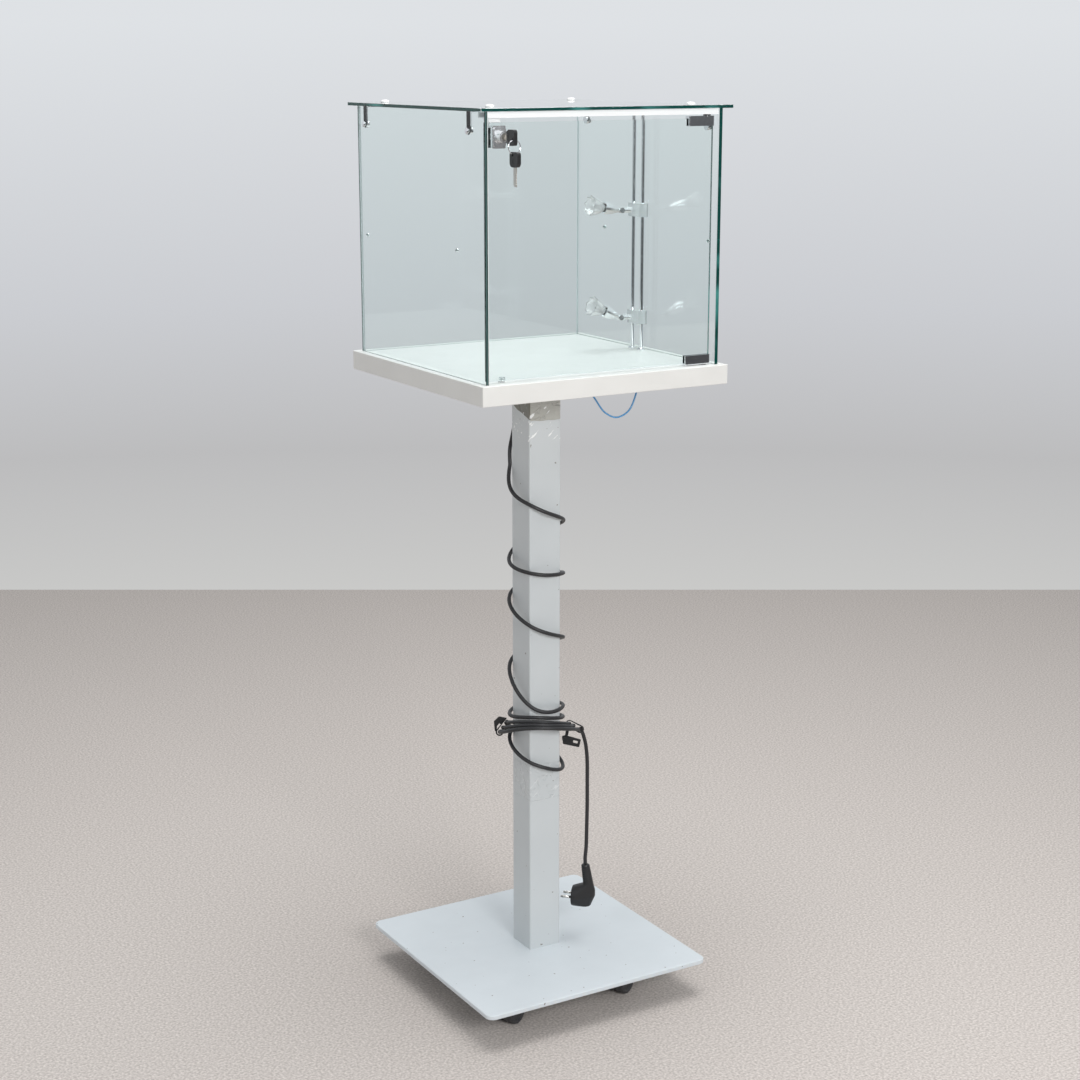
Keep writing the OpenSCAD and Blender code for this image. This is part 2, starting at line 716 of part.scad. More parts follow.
// ---- Door ----

module door_glass() color(glass_green) difference() {
  translate([door_l, door_y, door_low]) cube([door_r - door_l, pane_t, door_top - door_low]);
  translate([lock_x, door_y - 1, lock_z]) rod_y(neck_d + 1, pane_t + 2);
}

// A clamp hinge: a forked body over the pane's edge, with its pin on the pivot line.
// Drawn with its outer face at Z = 0, its open side down and the pivot at the origin.
module hinge_body(web) {
  slot = pane_t + 2 * pad_t + 0.1;
  mid = hinge_end - hinge_l / 2;
  difference() {
    translate([mid, 0, -hinge_h]) linear_extrude(hinge_h) round_rect(hinge_l, hinge_t, 2);
    translate([mid - hinge_l / 2 - 1, -slot / 2, -hinge_h - 1])
      cube([hinge_l + 2, slot, hinge_h + 1 - web]);
    for (x = [-1, 1]) translate([mid + x * grub_pitch / 2, 0, -grub_down(web)])
      rod_y(grub_d + 2 * fit, hinge_t);
  }
  cylinder(d = pin_d, h = pin_l);
}

// Depth of a hinge's clamping screws below its outer face
function grub_down(web) = (hinge_h + web) / 2;

module upper_hinge() color(chrome) translate([hinge_x, door_mid, upper_hinge_top])
  hinge_body(upper_web);

module lower_hinge() color(chrome) translate([hinge_x, door_mid, lower_hinge_low])
  mirror([0, 0, 1]) hinge_body(lower_web);

module hinge_pads() color(black_plastic) {
  pad_l = hinge_l - 4;
  pad_h = hinge_h - upper_web - 1.4;
  for (y = [door_y - pad_t, door_y + pane_t], z = [door_top - pad_h, door_low])
    translate([door_r - pad_l, y, z]) cube([pad_l, pad_t, pad_h]);
}

// The clamping screws of the hinges, and the two screws that hold the lock together
module door_screws() color(zinc) {
  for (x = [-1, 1],
       z = [upper_hinge_top - grub_down(upper_web), lower_hinge_low + grub_down(lower_web)])
    translate([hinge_mid + x * grub_pitch / 2, door_y + pane_t + pad_t, z]) difference() {
      rod_y(grub_d, hinge_t / 2 - pane_t / 2 - pad_t - 0.3);
      translate([0, 1, 0]) rotate([-90, 0, 0]) cylinder(d = 2.5, h = 6, $fn = 6);
    }
  lock_axis() lock_screw_places() {
    translate([0, back_y - 4.5, 0]) rod_y(lock_screw_d, back_t + 4.5);
    translate([0, back_y + back_t, 0]) rod_y(1.8 * lock_screw_d, 1.2);
  }
}

// ---- Lock ----

module lock_axis() translate([lock_x, 0, lock_z]) children();

module lock_screw_places() for (a = [150, 210])
  translate([lock_screw_out * cos(a), 0, lock_screw_out * sin(a)]) children();

// The chrome case in front of the pane, with its barrel and a neck through the pane
module lock_case() color(chrome) lock_axis() difference() {
  union() {
    translate([0, case_y, -0.5]) rotate([90, 0, 0]) lock_face();
    translate([0, barrel_y, 0]) rod_y(barrel_d, barrel_l + 2);
    translate([0, barrel_y - 0.6, 0]) rod_y(barrel_d - 3, 1);
    translate([0, case_y, 0]) rod_y(neck_d, back_y - case_y);
  }
  translate([0, barrel_y - 2, 0]) rod_y(core_d + 2 * fit, back_y - barrel_y + 4);
  lock_screw_places() translate([0, back_y - 5, 0]) rod_y(lock_screw_d + 2 * fit, 6);
}

// The case's block, stepped in towards the barrel
module lock_face() {
  linear_extrude(lock_t * 0.55) round_rect(lock_w, lock_h, 1.5);
  translate([0, 0, lock_t * 0.55]) linear_extrude(lock_t * 0.25) round_rect(lock_w - 2, lock_h - 5, 3);
  translate([0, 0.5, lock_t * 0.8]) linear_extrude(lock_t * 0.2) circle(d = lock_w - 1.5);
}

// The black back box that guides the bolt, open towards the pane
module lock_back() color(black_plastic) lock_axis() difference() {
  translate([0, back_y + back_t / 2, back_up - back_h]) cut_block(lock_w, back_t, back_h, 0.6);
  translate([-lock_w / 2 + back_wall, back_y - 1, back_up - back_h + back_wall])
    cube([lock_w - 2 * back_wall, back_t + 1 - back_wall, back_h - 2 * back_wall]);
  translate([-bolt_w / 2 - 0.1, bolt_y - 0.1, back_up - 3]) cube([bolt_w + 0.2, bolt_t + 0.2, 5]);
  lock_screw_places() translate([0, back_y, 0]) rod_y(lock_screw_d + 2 * fit, back_t + 1);
  translate([0, back_y - 1, 0]) rod_y(core_d + 1, 2.6);
}

// The bolt: a tongue over a yoke plate, lifted by the plug's pin in its level slot
module lock_bolt() color(zinc) lock_axis() difference() {
  union() {
    translate([-bolt_w / 2, bolt_y, -5.9]) cube([bolt_w, bolt_t, back_up + 5.9]);
    translate([-bolt_w / 2, bolt_y, -8.4]) cube([bolt_w + 4.4, bolt_t, 8.4 + 3.6]);
  }
  translate([yoke_r / sqrt(2) - yoke_pin_d / 2 - yoke_play, bolt_y - 1,
             -bolt_travel / 2 - yoke_pin_d / 2 - yoke_play])
    cube([yoke_r * (1 - 1 / sqrt(2)) + yoke_pin_d + 2 * yoke_play, bolt_t + 2,
          yoke_pin_d + 2 * yoke_play]);
}

// The turning plug: shaft, keyway, tail disc and the pin that lifts the bolt
module lock_cylinder() color([0.55, 0.50, 0.40]) lock_axis() {
  difference() {
    translate([0, barrel_y + 0.4, 0]) rod_y(core_d, back_y + 1.4 - barrel_y - 0.4);
    translate([0, barrel_y - 1, 0]) blade_bar(keyway_l, 0.15);
  }
  translate([yoke_r / sqrt(2), back_y + 1, -bolt_travel / 2])
    rod_y(yoke_pin_d, bolt_y + bolt_t - back_y - 0.6);
}

// The blade's section, as a flat bar along +Y
module blade_bar(l, more) translate([-blade_t / 2 - more, 0, -blade_w / 2 - more])
  cube([blade_t + 2 * more, l, blade_w + 2 * more]);

// A key with its blade along +Y from the bow's shoulder at Y = 0, and its hole low in the far end
module key_form() {
  difference() {
    translate([0, -1, 0]) blade_bar(blade_l + 1, 0);
    for (k = [0 : 4]) translate([-blade_t, 9 + 3.6 * k, blade_w / 2 + 0.5 - 0.4 * (k % 2)])
      rotate([0, 90, 0]) cylinder(d = 2.6, h = 2 * blade_t);
    translate([-blade_t, blade_l, blade_w / 2]) rotate([45, 0, 0]) cube([2 * blade_t, 3, 3]);
    translate([-blade_t, blade_l - 3, -blade_w / 2]) rotate([-45, 0, 0]) cube([2 * blade_t, 6, 3]);
  }
  difference() {
    translate([-bow_t / 2, -bow_l, 0]) rotate([90, 0, 90]) linear_extrude(bow_t) bow_outline();
    translate([-bow_t, bow_hole_in - bow_l, -bow_hole_off]) rod_x(bow_hole_d, 2 * bow_t);
    for (side = [-1, 1]) translate([side * (bow_t / 2 + 0.4), -bow_l / 2 + 3, 2])
      rotate([0, 90, 0]) cylinder(d = 9, h = 1.6, center = true);
  }
}

// Outline of the bow, with its hole end at the origin
module bow_outline() polygon([
  [0, 4 - bow_w / 2], [1.5, 1 - bow_w / 2], [4, -bow_w / 2], [bow_l - 5, -bow_w / 2],
  [bow_l - 1, 3 - bow_w / 2], [bow_l, -5], [bow_l, 5], [bow_l - 1, bow_w / 2 - 3],
  [bow_l - 5, bow_w / 2], [4, bow_w / 2], [1.5, bow_w / 2 - 1], [0, bow_w / 2 - 4]]);

module key() color(black_plastic) lock_axis() translate([0, barrel_y - key_gap, 0]) key_form();

// The split ring through the hole of the key in the lock
module key_ring() color(chrome) translate([lock_x, ring_y, ring_z]) rotate([90, 0, 0])
  rotate_extrude() translate([ring_d / 2, 0]) circle(d = ring_wire, $fn = 24);

// The spare key hangs from the ring with its blade down
module spare_key() color(black_plastic)
  translate([lock_x, ring_y - bow_hole_off, ring_z - ring_d / 2 - ring_seat + bow_hole_in - bow_l])
    rotate([-90, 0, 180]) key_form();

// ---- Lights ----

module light_rods() color(chrome) for (side = [-1, 1])
  translate([rods_x, side * rod_pitch / 2, deck_low + 8])
    cylinder(d = rod_d, h = top_low - deck_low - 8 - 2);

module rod_sockets() color(chrome) for (side = [-1, 1]) translate([rods_x, side * rod_pitch / 2, 0]) {
  difference() {
    union() {
      translate([0, 0, deck_low]) cylinder(d = socket_d, h = deck_t);
      translate([0, 0, deck_top]) rotate_extrude()
        polygon([[0, 0], [socket_flange_d / 2, 0], [socket_flange_d / 2, 1.6],
                 [rod_d / 2 + 1.4, socket_flange_t], [0, socket_flange_t]]);
      translate([0, 0, deck_low - nipple_l]) cylinder(d = nipple_d, h = nipple_l + 1);
    }
    translate([0, 0, deck_low + 8 - play]) cylinder(d = rod_d + 2 * fit, h = deck_t);
  }
  difference() {
    translate([0, 0, top_low - 8]) cylinder(d = rod_d + 5, h = 8);
    translate([0, 0, top_low - 9]) cylinder(d = rod_d + 2 * fit, h = 9 - 2 + play);
  }
}

module transformer() color([0.86, 0.86, 0.84]) translate([trafo_x, trafo_y, deck_low]) difference() {
  union() {
    translate([0, trafo_l / 2, -trafo_h]) cut_block(trafo_w, trafo_l, trafo_h, 2);
    translate([-trafo_w / 4, -trafo_ear, -trafo_ear_t])
      cube([trafo_w / 2, trafo_l + 2 * trafo_ear, trafo_ear_t]);
    for (k = [1 : 6]) translate([-trafo_w / 2 + 5, k * trafo_l / 7 - 2, -trafo_h - 1])
      cube([trafo_w - 10, 4, 2]);
  }
  for (y = trafo_screw_y) translate([0, y - trafo_y, -trafo_h])
    cylinder(d = wood_d + 0.5, h = trafo_h + 1);
}

// The tapered sleeve where the mains cord leaves the transformer
module mains_gland() color(black_plastic)
  translate([trafo_x, trafo_y + trafo_l + gland_l, gland_z]) rotate([90, 0, 0]) rotate_extrude()
    polygon([[0, 0], [cord_d / 2 + 0.5, 0], [cord_d / 2 + 0.9, 6], [cord_d / 2 + 1.5, 14],
             [cord_d / 2 + 2.6, gland_l - 3], [cord_d / 2 + 4, gland_l - 3],
             [cord_d / 2 + 4, gland_l], [0, gland_l]]);

// Lamp drawn with its clamp's middle at the origin and its arm along -X
module lamp_at(n) translate([rods_x, 0, lamp_z[n]]) children();

module clamp(n) color(clear_plastic) lamp_at(n) difference() {
  translate([0, 0, -clamp_h / 2]) linear_extrude(clamp_h) {
    for (side = [-1, 1]) translate([0, side * rod_pitch / 2]) circle(clamp_r);
    square([2 * clamp_r, rod_pitch], center = true);
  }
  for (side = [-1, 1]) translate([0, side * rod_pitch / 2, -clamp_h])
    cylinder(d = rod_d + 2 * fit, h = 2 * clamp_h);
  translate([-clamp_r - 1, 0, 0]) rod_x(spigot_d + 2 * fit, spigot_l + 1.2);
  translate([-clamp_r - 1, rod_pitch / 2, 0]) rod_x(knob_screw_d + 2 * fit, clamp_r + 1);
}

// The knurled screw that locks a clamp on the rear rod
module knob(n) color(chrome) lamp_at(n) translate([-clamp_r, rod_pitch / 2, 0]) {
  rod_x(knob_screw_d, clamp_r - rod_d / 2 - play);
  difference() {
    translate([-knob_l, 0, 0]) rotate([0, 90, 0]) rotate_extrude()
      polygon([[0, 0], [knob_d / 2 - 1, 0], [knob_d / 2, 1], [knob_d / 2, knob_l - 1.6],
               [knob_d / 2 - 2, knob_l - 0.1], [0, knob_l - 0.1]]);
    for (a = [0 : 30 : 330]) rotate([a, 0, 0]) translate([-knob_l - 1, 0, knob_d / 2 + 0.3])
      rod_x(1.6, knob_l - 0.6);
  }
  translate([-1, 0, 0]) rod_x(knob_screw_d, 2);
}

// The arm: spigot in the clamp, tube, and a fork with its pin across
module arm(n) color(chrome) lamp_at(n) translate([-clamp_r, 0, 0]) union() {
  difference() {
    union() {
      translate([-arm_l, 0, 0]) rod_x(arm_d, arm_l - 0.1);
      rod_x(spigot_d, spigot_l);
      translate([-1, 0, 0]) rod_x(spigot_d, 2);
      translate([-arm_l, arm_d / 2, 0]) rotate([90, 0, 0]) cylinder(d = arm_d, h = arm_d);
    }
    translate([-arm_l - arm_d, -tongue_t / 2 - 0.15, -arm_d]) cube([arm_d + 6, tongue_t + 0.3, 2 * arm_d]);
  }
  translate([-arm_l, -arm_d / 2 + 0.4, 0]) rod_y(knuckle_pin_d, arm_d - 0.8);
}

module head_axis(n) translate([knuckle_x, 0, lamp_z[n]]) rotate([0, lamp_tilt[n], 0])
  rotate([0, -90, 0]) children();

// The head: tongue on the knuckle's pin, then a bell that widens to the bulb
module head(n) color(chrome) head_axis(n) {
  difference() {
    union() {
      rotate([90, 0, 0]) cylinder(d = arm_d - 0.6, h = tongue_t, center = true);
      translate([-arm_d / 2 + 0.8, -tongue_t / 2, 0]) cube([arm_d - 1.6, tongue_t, head_start + 2]);
    }
    rotate([90, 0, 0]) cylinder(d = knuckle_pin_d + 2 * fit, h = 2 * tongue_t, center = true);
  }
  difference() {
    rotate_extrude() polygon(concat([[0, head_start]],
      [for (k = [0 : 8]) let (t = k / 8)
        [arm_d / 2 - 0.6 + (head_d - arm_d + 1.2) / 2 * sin(90 * t),
         head_start + (head_l - head_start) * t * 0.94]],
      [[head_d / 2, head_l], [0, head_l]]));
    translate([0, 0, head_l - 6]) cylinder(d = head_d - 3, h = 7);
  }
}

// The black lamp holder in the head's mouth
module holder(n) color(black_plastic) head_axis(n)
  translate([0, 0, head_l - 6]) cylinder(d = holder_d, h = 6 + holder_l);

// The bulb: a glass reflector bowl, and the lamp capsule that stands in it
module bulb(n) color([0.93, 0.95, 0.96, 0.6]) head_axis(n) translate([0, 0, head_l + holder_l]) {
  rotate_extrude() bowl_section();
  cylinder(d = 5, h = 6);
  translate([0, 0, 6]) rotate_extrude() polygon([[0, 0], [2.5, 0], [2.5, 6], [1.6, 8], [0, 8.6]]);
}

function bowl_r(t) = bulb_neck_d / 2 + (bulb_d - bulb_neck_d) / 2 * pow(t, 0.75);

module bowl_section() polygon(concat(
  [for (k = [0 : 10]) [bowl_r(k / 10), bulb_l * k / 10]],
  [for (k = [10 : -1 : 1]) [bowl_r(k / 10) - bulb_wall - 0.3, bulb_l * k / 10 + (k == 10 ? 0 : 0.4)]],
  [[0, bulb_wall + 1], [0, 0]]));

module upper_clamp() clamp(0);
module upper_knob() knob(0);
module upper_arm() arm(0);
module upper_head() head(0);
module upper_holder() holder(0);
module upper_bulb() bulb(0);
module lower_clamp() clamp(1);
module lower_knob() knob(1);
module lower_arm() arm(1);
module lower_head() head(1);
module lower_holder() holder(1);
module lower_bulb() bulb(1);

// ---- Leads and cord ----

module simple_tube(route, d) {
  p = curve(route, 2);
  tube(p, sides_of(p, [0, 0, 1]), d, 8, 0, len(p) - 1);
}

module lamp_leads() {
  color(lead_blue) simple_tube(blue_route, lead_d);
  color(cord_black) simple_tube(black_route, lead_d);
}

// The last stretch of a lamp's lead, up to the nipple of its rod
function lead_end(side) = let (y = side * rod_pitch / 2) [
  [rods_x - 2, y, -nipple_l - 14], [rods_x, y, -nipple_l - 8], [rods_x, y, -nipple_l - 4],
  [rods_x, y, -nipple_l]];

// Radius and height of the winding at a number of turns
function spread(p) = [p[0], p[1] <= bundle_top ? p[1]
  : bundle_top + (p[1] - bundle_top) * (deck_low - bundle_top) / (drawn_low - bundle_top)];
wind_places = [for (p = wind_table) spread(p)];
function wind_at(t) =
  let (x = (t - wind_first) / wind_step, i = floor(x), s = x - i, last = len(wind_places) - 1,
       a = wind_places[max(i - 1, 0)], b = wind_places[i], c = wind_places[min(i + 1, last)],
       d = wind_places[min(i + 2, last)])
  0.5 * (2 * b + (c - a) * s + (2 * a - 5 * b + 4 * c - d) * s * s + (3 * b - 3 * c + d - a) * s * s * s);

function wind_point(t) =
  let (v = wind_at(t), w = wind_angle + full_turn * t) [v[0] * cos(w), v[0] * sin(w), v[1]];

wind_rings = ceil((wind_to - wind_from) * rings_per_turn);
lead_part = curve(concat(lead_route, [wind_point(wind_from)]), 2);
wind_part = [for (i = [0 : wind_rings]) wind_point(wind_from + (wind_to - wind_from) * i / wind_rings)];
tail_part = curve(concat([wind_point(wind_to)], tail_route), 2);
cord = concat(lead_part, [for (i = [1 : wind_rings]) wind_part[i]],
              [for (i = [1 : len(tail_part) - 1]) tail_part[i]]);
cord_dirs = sides_of(cord, [0, 0, 1]);
wind_start = len(lead_part) - 1;
wind_end = wind_start + wind_rings;

// The least gap between rings of the winding that aren't neighbours along it
wind_gap = min([for (i = [0 : wind_rings], j = [i + 8 : 1 : wind_rings])
  norm(wind_part[i] - wind_part[j])]) - cord_d;
echo(winding_least_gap = wind_gap, cord_length = route_length(cord),
     lead = route_length(lead_part), winding = route_length(wind_part), tail = route_length(tail_part),
     blue = route_length(curve(blue_route, 2)), black = route_length(curve(black_route, 2)));

module mains_lead() color(cord_black) tube(cord, cord_dirs, cord_d, 8, 0, wind_start);
module mains_winding() color(cord_black) tube(cord, cord_dirs, cord_d, 6, wind_start, wind_end);
module mains_tail() color(cord_black) tube(cord, cord_dirs, cord_d, 8, wind_end, len(cord) - 1);

// Round corners at the two ends of a strap's band, in the plane of radius and height
module strap_ends(s, r) hull() for (p = [s[0], s[1]]) translate(p) circle(r, $fn = 32);

// A flat shape in the plane of radius and height, at a turn about the post and with a thickness
module strap_plane(turn, t) rotate([0, 0, turn]) rotate([90, 0, 0])
  linear_extrude(t, center = true) children();

// The closed band, leant so that the cords pass square through it
module strap_band(turn, s) rotate([0, 0, turn]) {
  mid = (s[0] + s[1]) / 2;
  translate([0, 0, mid[1]]) rotate([s[2], 0, 0]) translate([0, 0, -mid[1]]) rotate([90, 0, 0])
    linear_extrude(strap_w, center = true) difference() {
      strap_ends(s, cord_d / 2 + strap_gap + strap_t);
      strap_ends(s, cord_d / 2 + strap_gap);
    }
}

module bundle_straps() color(cord_black) {
  strap_band(wind_angle, left_strap);
  strap_plane(wind_angle, tab_t) polygon(left_tab);
  strap_band(wind_angle + 180, right_strap);
  strap_plane(wind_angle + 180, tab_t) difference() {
    union() {
      polygon(right_tab);
      polygon(right_link);
    }
    polygon(right_slot);
  }
}

// ---- Plug ----

// An angled mains plug: its pins point along +X here, level, and the cord comes in from above
module plug_at() translate(plug_top) rotate([0, 0, plug_turn]) children();

// A short level cylinder, as a corner of the plug's body
module plug_corner(x, z, d, h) translate([x, 0, z]) cylinder(d = d, h = h, center = true, $fn = 32);

module plug() color(black_plastic) plug_at() {
  difference() {
    union() {
      translate([0, 0, -6]) cylinder(d = plug_neck_d - 1.6, h = 6);
      hull() {
        plug_corner(-0.6, -4, plug_neck_d, 4);
        plug_corner(-6, -plug_neck_l, plug_neck_d + 4, 4);
      }
      hull() {
        translate(plug_mid - [plug_face_t, 0, 0]) rotate([0, 90, 0])
          cylinder(d = plug_face_d, h = plug_face_t, $fn = 32);
        plug_corner(-6, -plug_neck_l, plug_neck_d + 4, 4);
        plug_corner(-8, plug_mid[2] + 8, plug_heel_d, 10);
        plug_corner(0, plug_mid[2] - 12, plug_heel_d, 8);
      }
    }
    for (k = [0 : 3], side = [-1, 1]) translate([-1 - k, side * (plug_neck_d / 2 + 0.9), -9 - 6 * k])
      cube([9, 3, 2.4], center = true);
  }
  for (side = [-1, 1]) translate(plug_mid + [0, side * plug_pin_pitch / 2, 0]) {
    translate([-1, 0, 0]) rod_x(plug_pin_d, plug_pin_l - 1);
    translate([plug_pin_l - 2, 0, 0]) rotate([0, 90, 0])
      cylinder(d1 = plug_pin_d, d2 = plug_pin_d - 2, h = 2);
  }
}

// ---- The casters' own nodes ----

module caster_front_left() caster(caster_places[0]);
module caster_front_right() caster(caster_places[1]);
module caster_back_left() caster(caster_places[2]);
module caster_back_right() caster(caster_places[3]);
module wheels_front_left() wheels(caster_places[0]);
module wheels_front_right() wheels(caster_places[1]);
module wheels_back_left() wheels(caster_places[2]);
module wheels_back_right() wheels(caster_places[3]);

// ---- Drawing ----

place() base_plate();
place() fixing_screws();
place() caster_sockets();
place() post();
place() post_foot();
place() post_head();
place() deck();
place() left_glass();
place() right_glass();
place() back_glass();
place() top_glass();
place() header_rail();
place() top_brackets();
place() bracket_screws();
place() top_caps();
place() door_stop();
place() pivot_bushes();
place() keeper();
place() light_rods();
place() rod_sockets();
place() transformer();
place() mains_gland();
place() lamp_leads();
place() mains_lead();
place() mains_winding();
place() mains_tail();
place() bundle_straps();
place() plug();
place() door_glass();
place() upper_hinge();
place() lower_hinge();
place() hinge_pads();
place() door_screws();
place() lock_case();
place() lock_back();
place() lock_bolt();
place() lock_cylinder();
place() key();
place() key_ring();
place() spare_key();
place() upper_clamp();
place() upper_knob();
place() upper_arm();
place() upper_head();
place() upper_holder();
place() upper_bulb();
place() lower_clamp();
place() lower_knob();
place() lower_arm();
place() lower_head();
place() lower_holder();
place() lower_bulb();
place() caster_front_left();
place() caster_front_right();
place() caster_back_left();
place() caster_back_right();
place() wheels_front_left();
place() wheels_front_right();
place() wheels_back_left();
place() wheels_back_right();
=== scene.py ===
# %% [markdown]
# # A pedestal display case, dressed for its portrait
# The case is a square glass box on a wooden deck, carried by one square steel post and a heavy
# plate on four casters. A small key lock holds its glass door, two halogen lamps ride on a pair of
# bare rods inside, and the mains cord is wound round the post for storage. This notebook gives
# each piece its finish, and builds the pieces that have no stiff shape or need a finer one: cord,
# straps, plug, bulbs.

# %% [markdown]
# ## The frame
# The frame holds all rigid pieces, each in its own object, in metres, with the floor at Z = 0.
# They could be rebuilt here by hand, but then they would drift from the construction, so they are
# only loaded and painted.

import math

import bmesh
import bpy
from mathutils import Matrix, Vector


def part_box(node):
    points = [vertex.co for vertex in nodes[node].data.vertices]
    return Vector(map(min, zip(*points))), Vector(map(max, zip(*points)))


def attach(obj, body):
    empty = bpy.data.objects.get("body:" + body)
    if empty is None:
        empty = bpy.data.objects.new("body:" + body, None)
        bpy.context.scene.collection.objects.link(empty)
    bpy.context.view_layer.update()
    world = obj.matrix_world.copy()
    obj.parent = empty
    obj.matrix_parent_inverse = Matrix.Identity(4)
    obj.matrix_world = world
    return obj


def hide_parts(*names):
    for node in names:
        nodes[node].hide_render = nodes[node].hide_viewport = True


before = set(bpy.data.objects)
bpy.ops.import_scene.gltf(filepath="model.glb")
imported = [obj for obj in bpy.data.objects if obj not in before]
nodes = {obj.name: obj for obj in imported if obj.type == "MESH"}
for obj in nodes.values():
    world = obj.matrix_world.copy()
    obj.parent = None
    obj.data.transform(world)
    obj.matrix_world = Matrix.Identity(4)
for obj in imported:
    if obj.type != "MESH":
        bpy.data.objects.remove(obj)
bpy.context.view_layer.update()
MM = 0.001

# %% [markdown]
# ## The camera
# A long lens from a little above the case keeps its upright edges nearly upright. The place and
# the lens were worked out from the picture's straight edges, so they are plain numbers here.

# %% Camera
CAMERA_PLACE = (-1.661, -2.799, 1.588)
CAMERA_TURN = 30.62  # degrees from +Y towards +X
CAMERA_DOWN = 13.63  # degrees below the horizon
LENS_MM = 66.76
SENSOR_MM = 36


def put(name, data):
    """A new object in the scene."""
    made = bpy.data.objects.new(name, data)
    bpy.context.scene.collection.objects.link(made)
    return made


camera_data = bpy.data.cameras.new("camera")
camera_data.sensor_width = SENSOR_MM
camera_data.lens = LENS_MM
camera = put("camera", camera_data)
camera.location = CAMERA_PLACE
camera.rotation_euler = (math.radians(90 - CAMERA_DOWN), 0, -math.radians(CAMERA_TURN))
bpy.context.scene.camera = camera
bpy.context.scene.view_settings.view_transform = "Standard"
print("camera", [round(x, 3) for x in camera.location], "lens", LENS_MM)

# %% [markdown]
# ## The mains cord
# The cord is one round black flex of 6.5 mm. It leaves the transformer under the deck, reaches the
# post, winds round it eight times and more, is gathered in a bundle half way down, and then hangs
# straight to its plug. A simulation could drop it there, but a cord that somebody wound by hand
# holds its place, so the route is drawn: points for the free stretches, and a table of radius and
# height for the turns, a quarter turn apart. All of them are measured from the post's axis, in
# millimetres, as in the construction.

# %% Routes
CORD_D = 6.5 * MM
LEAD_ROUTE = [
    (85, 121, 1059), (85, 128, 1059), (85, 135, 1059), (80, 150, 1058), (66, 160, 1056),
    (48, 156, 1052), (34, 138, 1046), (22, 112, 1038), (11, 86, 1027), (1, 67, 1011),
    (-9, 54, 989), (-19, 47, 966), (-27, 41, 945)]
WIND_FROM, WIND_TO = -0.05, 8.42  # turns
WIND_ANGLE = 149.4
WIND_FIRST, WIND_STEP = -0.25, 0.25
WIND_TABLE = [(46, height) for height in (
    1010, 902, 860, 829, 797, 762, 747, 738, 719, 692, 652, 625, 600, 570, 510, 503, 496, 489,
    496, 483, 468, 446, 411, 393)]
WIND_TABLE += [
    (50, 422), (52, 471), (54, 491), (57, 470), (58, 432), (57.5, 463), (61.2, 488),
    (64.5, 466), (66, 436), (63, 455), (68.5, 485), (72, 463), (74, 440)]
TAIL_ROUTE = [
    (60, -44, 462), (69, -34, 458), (77, -30, 444), (83, -29, 422), (85, -30, 395),
    (84, -32, 360), (83, -34, 320), (81, -36, 280), (79, -38, 245), (77, -38, 222),
    (77, -38, 215), (77, -38, 208)]
post_low, post_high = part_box("post")
post_axis = Vector(((post_low.x + post_high.x) / 2, (post_low.y + post_high.y) / 2, 0))
print("post axis at", [round(x, 4) for x in post_axis])

# %% [markdown]
# A route through a few points needs a smooth curve between them. A Catmull-Rom curve passes
# through every point it is given and needs no handles, so the same few lines serve the free
# stretches and the winding's table, and they give the very line that the construction follows.

# %% A smooth curve through points
def blend_of_four(a, b, c, d, t):
    """The point at t, from 0 to 1, between b and c."""
    return 0.5 * (2 * b + (c - a) * t + (2 * a - 5 * b + 4 * c - d) * t * t
                  + (3 * b - 3 * c + d - a) * t * t * t)


def smooth_path(points, parts):
    """A curve through the points, with so many parts between each two."""
    last = len(points) - 1
    path = []
    for i in range(last):
        four = [points[max(i - 1, 0)], points[i], points[i + 1], points[min(i + 2, last)]]
        path += [blend_of_four(*four, k / parts) for k in range(parts)]
    return path + [points[last]]


def from_post(x, y, z):
    """A place in metres from millimetres about the post's axis."""
    return post_axis + Vector((x, y, z)) * MM


def wind_point(turns):
    """The winding's middle line after so many turns."""
    place = (turns - WIND_FIRST) / WIND_STEP
    i = int(place)
    last = len(WIND_TABLE) - 1
    four = [Vector(WIND_TABLE[min(max(k, 0), last)]) for k in (i - 1, i, i + 1, i + 2)]
    radius, height = blend_of_four(*four, place - i)
    angle = math.radians(WIND_ANGLE + 360 * turns)
    return from_post(radius * math.cos(angle), radius * math.sin(angle), height)


def length_of(path):
    return sum((b - a).length for a, b in zip(path, path[1:]))


print("radius at half a turn:", round((wind_point(0.5) - post_axis).xy.length / MM, 1), "mm")

# %% [markdown]
# A curve object with a round bevel is the natural form of a cord: its own line stays the middle
# line, so its length can be measured. The bevel is one metre deep and each point scales it down
# to the cord's radius, because Blender reckons a curve's box from its points' radii. Forty-eight
# points a turn keep the loops round.

# %% The cord's three stretches as one line
PARTS = 6
RINGS_A_TURN = 48


def round_cord(name, path, diameter):
    """A cord as a curve with a round bevel."""
    data = bpy.data.curves.new(name, "CURVE")
    data.dimensions = "3D"
    data.bevel_depth = 1
    data.bevel_resolution = 5
    data.use_fill_caps = True
    spline = data.splines.new("POLY")
    spline.points.add(len(path) - 1)
    for point, place in zip(spline.points, path):
        point.co = (*place, 1)
        point.radius = diameter / 2
    spline.use_smooth = True
    return put(name, data)


lead_path = smooth_path([from_post(*p) for p in LEAD_ROUTE] + [wind_point(WIND_FROM)], PARTS)
tail_path = smooth_path([wind_point(WIND_TO)] + [from_post(*p) for p in TAIL_ROUTE], PARTS)
rings = math.ceil((WIND_TO - WIND_FROM) * RINGS_A_TURN)
wind_path = [wind_point(WIND_FROM + (WIND_TO - WIND_FROM) * i / rings) for i in range(rings + 1)]
cord_path = lead_path + wind_path[1:] + tail_path[1:]
mains_cord = round_cord("mains_cord", cord_path, CORD_D)
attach(mains_cord, "root")
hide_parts("mains_lead", "mains_winding", "mains_tail")

